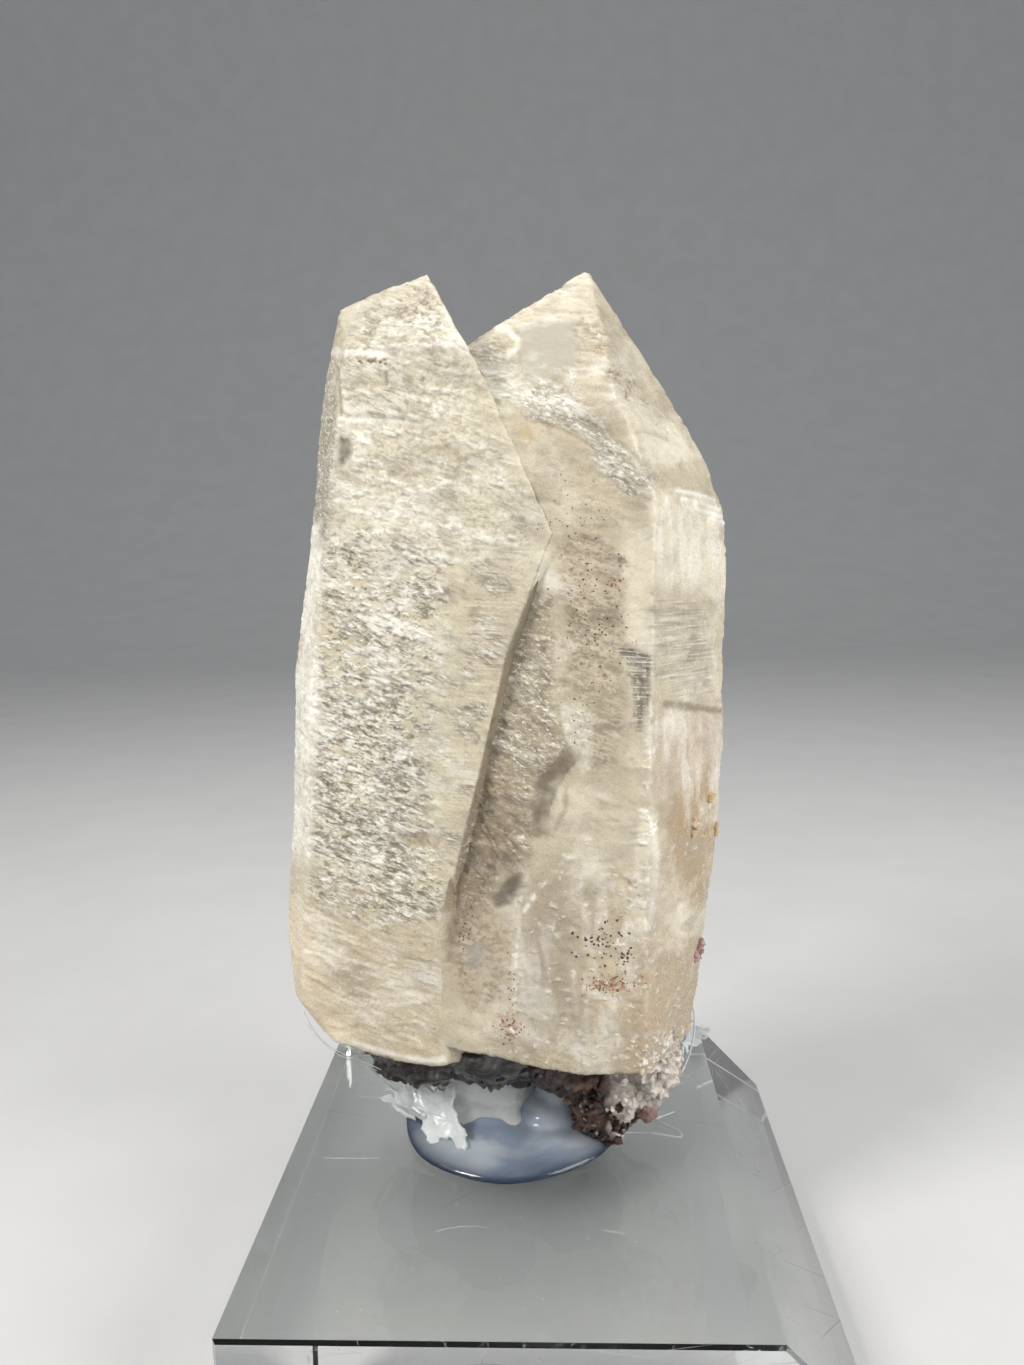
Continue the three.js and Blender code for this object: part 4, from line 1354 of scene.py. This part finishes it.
BIG_GRAINS = Texture((2.1, 2.1, 1.9), 0.15, 0.6, kind=Kind.GRAINS)
SMALL_GRAINS = Texture((0.9, 0.9, 0.8), 0.15, 0.6, kind=Kind.GRAINS)

ROOT_MARKS = (
    Mark((0.055, 0.032, 0.025), 0.6, FOLDS, lift=0.8, dull=0.1, frost=0.0),
    Mark(MAROON, 0.4, BIG_GRAINS, lift=0.3, dull=0.15, frost=0.0),
    Mark(UMBER, 0.2, SMALL_GRAINS, lift=0.12, dull=0.2, frost=0.1),
    # Painted shade under the left crystal's lip.
    Mark((0.012, 0.009, 0.008), 0.85, None, (SHADED_ROOT_LEFT,), dull=0.05, frost=0.0),
    Mark((0.03, 0.028, 0.026), 0.8, None, (ROOT_CENTRE,), dull=0.0, frost=0.0),
    Mark((0.20, 0.19, 0.17), 0.6, FOLDS, (ROOT_CENTRE,), lift=0.5, dull=0.0, frost=0.0, clear=0.2),
    Mark(MAROON, 0.6, BIG_GRAINS, (ROOT_KNOB,), lift=0.45, dull=0.1, frost=0.1),
    Mark((0.16, 0.07, 0.05), 0.5, Texture((1.6, 1.6, 1.4), 0.0, 0.4, 0, 3), (ROOT_KNOB,), dull=0.15, frost=0.1),
    Mark((0.82, 0.74, 0.66), 0.9, None, (ROOT_PINK,), dull=0.1, clear=0.4, frost=0.2),
    Mark(WHITE, 0.6, GLINTS, (ROOT_PINK,), lift=0.2, dull=0.1, sparkle=0.8),
    Mark((0.34, 0.20, 0.15), 0.35, CHIPS, (ROOT_PINK,), lift=-0.2, dull=0.1, clear=0.3),
    Mark((0.30, 0.12, 0.09), 0.8, None, (ROOT_BEAD,), dull=0.05, clear=0.6),
)


@dataclass
class PointCrust:
    """A crust of small stubby quartz points on part of the root or of a crystal's side."""

    name: str
    finish: PointFinish
    count: int
    width: float
    within: tuple[tuple[Point, float], ...]
    seed: int
    lean: float = 0.6
    tip: float = 0.55
    stand: float = 0.35

    def build(self, ground: BVHTree) -> bpy.types.Object:
        """Makes the crust.

        Args:
            ground: The surface that it grows on.

        Returns:
            The piece.
        """
        roll = random.Random(self.seed)
        bm = bmesh.new()
        for _ in range(self.count):
            centre, reach = roll.choice(self.within)
            aim = self.any_way(roll).normalized()
            hit, out, _, _ = ground.ray_cast((Vector(centre) + aim * reach * 2.2) * MM, -aim)
            if hit is None or (hit - Vector(centre) * MM).length > reach * 1.35 * MM:
                continue
            way = (out + self.any_way(roll) * self.lean * 0.5).normalized()
            self.add_point(bm, hit, way, self.width * roll.uniform(0.45, 1.25) * MM, roll)
        return adopt(self.name, mesh_of(bm, self.name, False), self.finish.make())

    def any_way(self, roll: random.Random) -> Vector:
        """A vector in any direction."""
        return Vector((roll.gauss(0, 1), roll.gauss(0, 1), roll.gauss(0, 1)))

    def add_point(self, bm: bmesh.types.BMesh, base: Vector, axis: Vector, width: float, roll: random.Random) -> None:
        """Adds one six-sided point.

        Args:
            bm: The crust's bmesh.
            base: Where it stands.
            axis: The way it points.
            width: Its width across the corners, in metres.
            roll: The source of its chance turn and height.
        """
        height = width * roll.uniform(0.2, 1.0) * self.stand
        long = width * self.tip
        turn = axis.to_track_quat("Z", "Y").to_matrix().to_4x4() @ Matrix.Rotation(roll.uniform(0, 1.05), 4, "Z")
        stand = Matrix.Translation(base + axis * height) @ turn @ Matrix.Translation((0, 0, long / 2))
        cone = bmesh.ops.create_cone(
            bm, cap_ends=True, cap_tris=False, segments=6, radius1=width / 2, radius2=0, depth=long, matrix=stand
        )
        under = next(f for v in cone["verts"] for f in v.link_faces if len(f.verts) == 6)
        lowered = bmesh.ops.extrude_face_region(bm, geom=[under])
        verts = [g for g in lowered["geom"] if isinstance(g, bmesh.types.BMVert)]
        bmesh.ops.translate(bm, verts=verts, vec=-axis * (height + width * 0.5))
        bmesh.ops.delete(bm, geom=[under], context="FACES_ONLY")


@dataclass
class Specks:
    """Dark mineral specks that sit in the crystals' surface, in swarms."""

    name: str
    finish: PlainFinish
    swarms: tuple[tuple[float, float, float, float, int, float], ...]
    seed: int

    def build(self, ground: BVHTree) -> bpy.types.Object:
        """Makes the specks.

        Args:
            ground: The dressed crystals' surface.

        Returns:
            The piece.
        """
        roll = random.Random(self.seed)
        bm = bmesh.new()
        eye = Vector(EYE) * MM
        for x, z, wide, tall, count, size in self.swarms:
            for _ in range(count):
                aim = Vector((roll.gauss(x, wide / 2), FRONT, roll.gauss(z, tall / 2))) * MM
                hit, out, _, _ = ground.ray_cast(eye, (aim - eye).normalized())
                if hit is None:
                    continue
                width = size * roll.uniform(0.5, 1.4) * MM
                lie = Matrix.Translation(hit) @ out.to_track_quat("Z", "Y").to_matrix().to_4x4()
                flat = Matrix.Diagonal((width * roll.uniform(0.8, 1.6), width, width * 0.4, 1.0))
                turn = Matrix.Rotation(roll.uniform(0, 3), 4, "Z")
                bmesh.ops.create_icosphere(bm, subdivisions=1, radius=1.0, matrix=lie @ turn @ flat)
        return adopt(self.name, mesh_of(bm, self.name, True), self.finish.make())


@dataclass
class GlueMount:
    """The glue: a round puddle on the block, a short post, torn flakes and fine threads."""

    node: str = "hot_glue_mount"
    base: float = 12.74
    puddle_centre: tuple[float, float] = (-4.5, 6.2)
    puddle_radius: float = 14.2
    puddle_height: float = 1.7
    swells: tuple[tuple[Point, Point], ...] = (
        ((-7.6, 8.2, 13.6), (8.6, 7.2, 2.2)),
        ((1.4, 6.0, 15.6), (3.0, 3.4, 6.0)),
        ((0.4, 5.0, 14), (4.4, 4.4, 3.2)),
    )
    post_centre: tuple[float, float] = (-7.9, 8.6)
    post_half: tuple[float, float] = (6.6, 5.6)
    post_top: float = 21.4
    # Painted shade darkens the flowed glue below 14.9 mm, towards the puddle's foot.
    flowed: GlueFinish = GlueFinish(
        "flowed glue", (0.84, 0.91, 0.98), (0.42, 0.50, 0.64), 0.05, 0.3, shade_top=14.9 * MM
    )
    set_hard: GlueFinish = GlueFinish("glue post", (0.97, 0.97, 0.93), (0.78, 0.80, 0.78), 0.12, 0.2, 0.2)
    torn: GlueFinish = GlueFinish("torn glue", (0.92, 0.95, 0.95), (0.72, 0.76, 0.77), 0.22, 0.3, 0.15)

    def build(self) -> None:
        """Makes all the glue's pieces."""
        self.puddle()
        self.post()
        self.flakes()
        self.threads()

    def turned(self, section: Iterable[tuple[float, float]], steps: int, cuts: int) -> bmesh.types.BMesh:
        """Spins a half section round the vertical.

        Args:
            section: Radius and height in shares of the piece's own, from the middle at the foot to the middle on top.
            steps: How many parts the turn has.
            cuts: How many times each stretch of the section is cut first.

        Returns:
            The closed bmesh, one unit wide and high.
        """
        bm = bmesh.new()
        line = [bm.verts.new((r, 0.0, h)) for r, h in section]
        edges = [bm.edges.new(pair) for pair in zip(line, line[1:])]
        bmesh.ops.subdivide_edges(bm, edges=edges, cuts=cuts)
        whole = bm.verts[:] + bm.edges[:]
        bmesh.ops.spin(bm, geom=whole, cent=(0, 0, 0), axis=(0, 0, 1), angle=math.tau, steps=steps, use_merge=True)
        bmesh.ops.remove_doubles(bm, verts=bm.verts, dist=1e-4)
        bmesh.ops.recalc_face_normals(bm, faces=bm.faces)
        return bm

    def puddle(self) -> None:
        """The puddle, thick at its rim, with a slightly wavy outline."""
        section = (
            (0, 0), (0.96, 0), (1, 0.1), (1.005, 0.3), (0.985, 0.52), (0.94, 0.7), (0.84, 0.85), (0.6, 0.95),
            (0.3, 0.99), (0, 1),
        )
        mesh = mesh_of(self.turned(section, 120, 2), "puddle", True)
        spots = places(mesh) * MM
        around = np.arctan2(spots[:, 1], spots[:, 0])
        wave = 1 + 0.012 * np.sin(3 * around + 1) + 0.008 * np.sin(7 * around)
        spots[:, :2] *= self.puddle_radius * wave[:, None]
        swell = 1 + 0.12 * waves(spots * (1, 1, 0), (6, 6, 6), 2) * smooth(spots[:, 2], 0.5, 0.9)
        spots[:, 2] *= self.puddle_height * swell
        move_to(mesh, spots + (*self.puddle_centre, self.base))
        bm = gathered([mesh])
        for centre, radii in self.swells:
            shape = Matrix.Translation(Vector(centre) * MM) @ Matrix.Diagonal((*(r * MM for r in radii), 1.0))
            bmesh.ops.create_icosphere(bm, subdivisions=4, radius=1.0, matrix=shape)
        mesh = modified(mesh_of(bm, "puddle", True), "REMESH", mode="VOXEL", voxel_size=0.24 * MM, use_smooth_shade=True)
        mesh = modified(mesh, "SMOOTH", factor=0.5, iterations=24)
        adopt("glue_puddle", mesh, self.flowed.make(), self.node)

    def post(self) -> None:
        """The post, squarish in plan, with the folds of glue that set as it was pressed."""
        section = (
            (0, 0.1), (1.3, 0.1), (1.16, 0.2), (1.04, 0.34), (0.98, 0.5), (0.98, 0.7), (1.02, 0.84), (0.94, 0.97),
            (0.7, 1), (0, 1),
        )
        mesh = mesh_of(self.turned(section, 96, 5), "post", True)
        spots = places(mesh) * MM
        around = np.arctan2(spots[:, 1], spots[:, 0])
        squarish = (np.abs(np.cos(around)) ** 3 + np.abs(np.sin(around)) ** 3) ** (-1 / 3)
        spots[:, :2] *= 1 + 0.85 * (squarish[:, None] - 1)
        spots *= (*self.post_half, self.post_top - self.base)
        out = np.stack([np.cos(around), np.sin(around), np.zeros(len(around))], 1)
        folds = 0.7 * waves(spots, (3.6, 3.6, 2.6), 3, turn=12) + 0.2 * waves(spots, (9, 9, 0.7), 3, turn=-3)
        reach = np.hypot(spots[:, 0], spots[:, 1])
        spots += out * (folds * smooth(reach, 2.0, 4.0))[:, None]
        move_to(mesh, spots + (*self.post_centre, self.base))
        adopt("glue_post", mesh, self.set_hard.make(), self.node)

    def sheet_of(self, corners: Sequence[Point], thick: float, bow: float, seed: int) -> bpy.types.Mesh:
        """A torn sheet of glue between four corners.

        Args:
            corners: The corners in order, in millimetres.
            thick: Its thickness, in millimetres.
            bow: How far its middle bulges, in millimetres.
            seed: Chooses its tears.

        Returns:
            The closed mesh, in metres.
        """
        bm = bmesh.new()
        bmesh.ops.create_grid(bm, x_segments=34, y_segments=26, size=0.5)
        a, b, c, d = (Vector(corner) for corner in corners)
        lift = (b - a).cross(d - a).normalized()
        spots = {}
        for v in bm.verts:
            u, w = v.co.x + 0.5, v.co.y + 0.5
            spots[v] = a.lerp(b, u).lerp(d.lerp(c, u), w) + lift * bow * math.sin(math.pi * u) * math.sin(math.pi * w)
            v.co.z = min(u, 1 - u, w, 1 - w)
        torn = []
        for face in bm.faces:
            middle = face.calc_center_median()
            edge = noise.fractal((middle.x * 5 + seed, middle.y * 5, seed * 1.7), 1.0, 2.0, 3)
            if middle.z < 0.08 + 0.14 * edge:
                torn.append(face)
        for v, spot in spots.items():
            v.co = spot + lift * noise.fractal(spot * 0.4 + Vector((seed, 0, 0)), 1.0, 2.0, 3) * 0.6
        bmesh.ops.delete(bm, geom=torn, context="FACES")
        bmesh.ops.delete(bm, geom=[v for v in bm.verts if not v.link_faces], context="VERTS")
        for _ in range(2):
            bmesh.ops.smooth_vert(bm, verts=bm.verts, factor=0.5, use_axis_x=True, use_axis_y=True, use_axis_z=True)
        bmesh.ops.solidify(bm, geom=bm.faces[:], thickness=thick)
        bmesh.ops.recalc_face_normals(bm, faces=bm.faces)
        return mesh_of(bm, "sheet", True, MM)

    def flakes(self) -> None:
        """The torn sheets on the left of the post, and the curl behind the root on the right."""
        sheets = (
            (((-22.4, 3.6, 17.2), (-17, 6, 18.6), (-13.4, 1.2, 14.4), (-17.6, 2, 15)), 0.45, 0.9, 3),
            (((-18.2, 4.4, 19.4), (-11.6, 2.6, 20.2), (-8.6, -3.6, 13.5), (-15.4, -1.6, 13.6)), 0.55, 1.4, 5),
            (((-16.4, 9, 18.4), (-20.6, 8.8, 20.6), (-16, 6.4, 22.4), (-12.4, 6, 19.6)), 0.5, 0.6, 8),
            (((16.8, 8, 19.6), (18.4, 9.4, 25), (22.2, 11.6, 22.6), (20.2, 12, 19.6)), 0.35, 0.9, 14),
        )
        whole = mesh_of(gathered(self.sheet_of(*sheet) for sheet in sheets), "flakes", True)
        whole = modified(whole, "SUBSURF", levels=1, render_levels=1)
        adopt("glue_flakes", whole, self.torn.make(), self.node)

    def threads(self) -> None:
        """The fine threads that the glue drew out."""
        runs = (
            (((-29.4, -1, 31.2), (-28, -2, 28.2), (-24.6, -2.6, 26.2), (-20.8, -1.6, 24.4), (-18.4, 0.4, 21.4),
              (-17.6, 2.4, 18.2)), 0.14),
            (((-28.8, -2, 30), (-26.6, -3.2, 27.4), (-22.4, -3, 25), (-19.6, 0, 22.6), (-19, 2.6, 18.6)), 0.1),
            (((-24.6, 0, 27), (-22.4, 1, 22.6), (-20.2, 2.4, 19.6), (-18.8, 3.6, 17.6)), 0.12),
            (((-21.4, 3.6, 17.2), (-18.6, 2.2, 16.8), (-15.2, 1, 16.6), (-12.8, 0.6, 16.2)), 0.09),
            (((17.4, 6, 19.2), (19.4, 8, 21.8), (20.2, 9.4, 25.4), (18.6, 9.8, 28.4)), 0.3),
            (((9.2, 2.6, 12.86), (12.4, 3, 12.86), (15.8, 1.7, 12.86), (17.2, 1.5, 12.88), (16.8, 3, 12.95),
              (14.7, 4.6, 12.88), (13.4, 5.6, 12.86), (15.4, 6.6, 12.88), (16.6, 7.4, 12.86)), 0.2),
        )
        lines = [drawn_line([Vector(p) for p in points], thick) for points, thick in runs]
        adopt("glue_threads", mesh_of(gathered(lines), "threads", True), self.torn.make())


def drawn_line(points: Sequence[Vector], thick: float) -> bpy.types.Mesh:
    """A fine round line through some points, as a closed mesh.

    Args:
        points: The points in millimetres.
        thick: Its thickness in millimetres.

    Returns:
        The mesh, in metres.
    """
    curve = bpy.data.curves.new("line", "CURVE")
    curve.dimensions = "3D"
    curve.bevel_depth = thick / 2 * MM
    curve.bevel_resolution = 1
    curve.use_fill_caps = True
    curve.resolution_u = 10
    spline = curve.splines.new("NURBS")
    spline.points.add(len(points) - 1)
    for knot, point in zip(spline.points, points):
        knot.co = (*(point * MM), 1.0)
    spline.use_endpoint_u = True
    spline.order_u = 4
    holder = bpy.data.objects.new("line", curve)
    bpy.context.scene.collection.objects.link(holder)
    mesh = bpy.data.meshes.new_from_object(holder.evaluated_get(bpy.context.evaluated_depsgraph_get()))
    bpy.data.objects.remove(holder)
    return mesh


@dataclass
class ClearBlock:
    """The clear block with the sloping right-hand side, and the dust on it."""

    node: str = "acrylic_stand"
    top: float = 12.7
    finish: AcrylicFinish = field(default_factory=AcrylicFinish)
    dust: PlainFinish = PlainFinish("dust", (0.75, 0.74, 0.70), (0.5, 0.49, 0.46), 0.8)
    grains: int = 110
    seed: int = 21

    def build(self) -> None:
        """Dresses the block and strews its dust."""
        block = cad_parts[self.node]
        block.data.materials.clear()
        block.data.materials.append(self.finish.make())
        self.strew()

    def strew(self) -> None:
        """Dust grains and two short fibres on the top."""
        roll = random.Random(self.seed)
        fibres = (
            ((-27.5, -2.6, 12.74), (-24, -2.8, 12.76), (-20.6, -2.6, 12.74)),
            ((-12, -16, 12.74), (-9, -14.6, 12.76), (-6.4, -15.4, 12.74)),
        )
        bm = gathered([drawn_line([Vector(p) for p in points], 0.06) for points in fibres])
        for _ in range(self.grains):
            spot = Vector((roll.uniform(-30, 21), roll.uniform(-30, 30), self.top + 0.03)) * MM
            size = roll.uniform(0.03, 0.09) * MM
            turn = Matrix.Rotation(roll.uniform(0, 3), 4, "Z")
            flat = Matrix.Diagonal((size * 1.6, size, size * 0.6, 1))
            bmesh.ops.create_icosphere(bm, subdivisions=1, radius=1.0, matrix=Matrix.Translation(spot) @ turn @ flat)
        adopt("stand_dust", mesh_of(bm, "dust", True), self.dust.make())


@dataclass
class Studio:
    """The pale sweep, the soft lights and the camera."""

    camera_turn: Point = (81.828, 1.557, 2.591)
    lens: float = 27.03
    pale: PlainFinish = PlainFinish("studio sweep", (0.60, 0.60, 0.60), (0.58, 0.58, 0.58), 0.8, 40.0)
    lights: tuple[tuple[str, Point, float, float, Colour], ...] = (
        ("key", (-260, -180, 290), 110, 1.25, (1.0, 0.975, 0.93)),
        ("fill", (330, -170, 170), 240, 1.25, (1.0, 0.985, 0.96)),
        ("top", (20, 90, 420), 260, 0.6, (1.0, 0.99, 0.97)),
    )
    aim: Point = (-3, 3, 62)
    sky: float = 0.38

    def build(self) -> None:
        """Sets up the studio."""
        self.sweep()
        for name, place, size, power, colour in self.lights:
            self.light(name, place, size, power, colour)
        world = bpy.data.worlds.new("studio")
        bpy.context.scene.world = world
        world.use_nodes = True
        world.node_tree.nodes["Background"].inputs["Color"].default_value = (0.95, 0.97, 1.0, 1.0)
        world.node_tree.nodes["Background"].inputs["Strength"].default_value = self.sky
        bpy.context.scene.view_settings.view_transform = "Standard"
        self.camera()

    def sweep(self) -> None:
        """A floor that curves up into a wall behind."""
        bm = bmesh.new()
        near, far, high, bend = -1.5, 1.2, 2.0, 0.6
        line = [(near, 0.0), (far - bend, 0.0)]
        line += [(far - bend + bend * math.sin(t), bend - bend * math.cos(t)) for t in np.linspace(0.1, math.pi / 2, 14)]
        line.append((far, high))
        verts = [bm.verts.new((-3.0, y, z - 0.00005)) for y, z in line]
        edges = [bm.edges.new(pair) for pair in zip(verts, verts[1:])]
        pulled = bmesh.ops.extrude_edge_only(bm, edges=edges)
        bmesh.ops.translate(bm, verts=[g for g in pulled["geom"] if isinstance(g, bmesh.types.BMVert)], vec=(6.0, 0, 0))
        mesh = mesh_of(bm, "sweep", True)
        mesh.materials.append(self.pale.make())
        floor = bpy.data.objects.new("studio_sweep", mesh)
        bpy.context.scene.collection.objects.link(floor)

    def light(self, name: str, place: Point, size: float, power: float, colour: Colour) -> None:
        """Adds one square soft light that looks at the specimen.

        Args:
            name: Its name.
            place: Its place in millimetres.
            size: The length of its side in millimetres.
            power: Its power in watts.
            colour: Its colour.
        """
        data = bpy.data.lights.new(name, "AREA")
        data.size = size * MM
        data.energy = power
        data.color = colour
        lamp = bpy.data.objects.new(name, data)
        bpy.context.scene.collection.objects.link(lamp)
        lamp.location = Vector(place) * MM
        lamp.rotation_euler = (Vector(self.aim) - Vector(place)).to_track_quat("-Z", "Y").to_euler()

    def camera(self) -> None:
        """Adds the camera at the photograph's viewpoint."""
        data = bpy.data.cameras.new("camera")
        data.lens = self.lens
        data.sensor_width = 36.0
        data.clip_start = 5 * MM
        data.clip_end = 10.0
        eye = bpy.data.objects.new("camera", data)
        bpy.context.scene.collection.objects.link(eye)
        eye.location = Vector(EYE) * MM
        eye.rotation_euler = Euler([math.radians(a) for a in self.camera_turn], "XYZ")
        bpy.context.scene.camera = eye


LEFT_FACES = (
    Face(-93, 0.6, (-12, -7.5, 60)),
    Face(-153, 4.2, (-30.9, 0, 40.5)),
    Face(-213, 4.0, (-30.9, 0, 40.5)),
    Face(-153, 8.1, (-28.5, 0, 70.8)),
    Face(-213, 7.6, (-28.5, 0, 70.8)),
    Face(87, -1, (-12, 11.2, 60)),
    Face(27, 2, (2, 8, 60)),
    Face(5, 23.5, (-10.7, -1, 117)),
    Face(-93, 38.2, (-12, -7, 108.2)),
    Face(125, 38.2, (-11, 0, 117.1)),
    Face(-170, 14, (-21, 0, 113)),
    Face(-168, -9, (-30.3, -1, 37.7)),
    Face(-149, -31, (-28.6, -1, 31.3)),
    Face(-130, -60, (-21.5, -7.6, 29.6)),
    Face(-118, -71, (-20, -7, 28.6)),
    Face(-80, -68, (-12, -7.8, 27.6)),
)
RIGHT_FACES = (
    Face(-92.7, 0.7, (0, -7.79, 70)),
    Face(-34.5, -0.8, (22.8, 6.2, 76)),
    Face(27, -0.8, (22.8, 6.2, 76)),
    Face(87, 0.5, (6, 19.6, 60)),
    Face(-213, 1, (-10.8, 6, 60)),
    Face(-153, 1, (-19, 6, 60)),
    Face(-93, 38.2, (6.8, 5, 117.3)),
    Face(142, 38.2, (5.4, 5, 117.2)),
    Face(87, 40, (6.4, 6, 117.2)),
    Face(-33, 28.5, (12.8, 5, 108.8)),
    Face(27, 28.5, (12.8, 5, 108.8)),
    Face(-33, 18, (22.2, 5.4, 91.2)),
    Face(27, 18, (22.2, 5.4, 91.2)),
    Face(-26, -7, (22.8, 5.8, 56)),
    Face(38, -5.5, (22.6, 5.6, 58)),
    Face(-96, -72, (4, -8, 27)),
    Face(-120, -66, (-2, -8, 28)),
    Face(-30, -50, (19.0, 3, 26.6)),
    Face(110, -55, (0, 17, 32)),
)


def surface_of(*pieces: bpy.types.Object) -> BVHTree:
    """The joined surface of some pieces, for finding places on it."""
    bm = bmesh.new()
    for piece in pieces:
        bm.from_mesh(piece.data)
    tree = BVHTree.FromBMesh(bm)
    bm.free()
    return tree


def main() -> None:
    """Builds the specimen, piece by piece, and then the studio."""
    cream = QuartzFinish("etched cream quartz")
    clear = QuartzFinish("clearer grey quartz")
    matrix = QuartzFinish(
        "dark root rock", tan=(0.04, 0.025, 0.02), frost=(0.12, 0.09, 0.075), pit=(0.02, 0.012, 0.01), subsurface=0.0
    )
    left = LeftCrystal("left_crystal", CREAM, LEFT_MARKS, cream, 0.21, 196_000, LEFT_FACES).build()
    right = RightCrystal("right_crystal", (0.60, 0.53, 0.40), RIGHT_MARKS, clear, 0.21, 196_000, RIGHT_FACES).build()
    root = Root("root_rock", BARK, ROOT_MARKS, matrix, 0.24, 110_000).build()
    dark = PointFinish("dark root points", (0.014, 0.007, 0.005), (0.07, 0.033, 0.022), 0.12)
    rose = PointFinish("pale root points", (0.74, 0.62, 0.54), (0.95, 0.90, 0.85), 0.35)
    gold = PointFinish("golden side points", (0.62, 0.42, 0.20), (0.92, 0.80, 0.58), 0.3)
    plum = PointFinish("plum side points", (0.30, 0.16, 0.14), (0.66, 0.48, 0.42), 0.25)
    rock = surface_of(root)
    both = surface_of(left, right)
    lumps = (((-15, 9, 24), 7), ((-6, 12, 24), 7), ((4.5, 6, 23), 7), ((6.9, 0.6, 17.9), 4))
    druse = (((13.2, -1.6, 25.4), 4), ((10.4, -1.4, 21.8), 3))
    flank = (((21.6, 5, 51.2), 1.6), ((20.4, 3, 56), 1.2), ((18, 0.6, 53.4), 0.9))
    PointCrust("root_points", dark, 420, 1.0, lumps, 5).build(rock)
    PointCrust("pale_points", rose, 240, 0.8, druse, 6).build(rock)
    PointCrust("golden_points", gold, 60, 0.7, flank, 7).build(both)
    PointCrust("plum_points", plum, 40, 0.9, (((19.6, 4, 36.2), 1.9),), 8).build(both)
    black = PlainFinish("black specks", (0.03, 0.02, 0.015), (0.10, 0.05, 0.035), 0.4)
    rust = PlainFinish("rusty specks", (0.17, 0.07, 0.045), (0.32, 0.16, 0.10), 0.45)
    black_swarms = (
        (7.0, 42.0, 3.0, 4.0, 60, 0.12),
        (9.4, 40.6, 1.2, 1.2, 16, 0.14),
        (6.2, 79, 3.8, 8.0, 130, 0.08),
        (5.0, 70, 2.2, 5.0, 40, 0.07),
        (-8.4, 43.5, 1.0, 5.0, 40, 0.08),
        (-3.2, 39.0, 0.8, 7.0, 24, 0.08),
        (3.5, 91, 5.0, 4.0, 40, 0.07),
    )
    rusty_swarms = ((7.6, 37.4, 3.4, 1.4, 110, 0.1), (-3.9, 32.2, 1.8, 1.9, 60, 0.11), (8.8, 82.8, 0.8, 0.8, 14, 0.12))
    Specks("black_specks", black, black_swarms, 7).build(both)
    Specks("rusty_specks", rust, rusty_swarms, 9).build(both)
    GlueMount().build()
    ClearBlock().build()
    Studio().build()


if __name__ == "__main__":
    logging.basicConfig(level=logging.INFO, format="%(name)s: %(message)s")
    main()
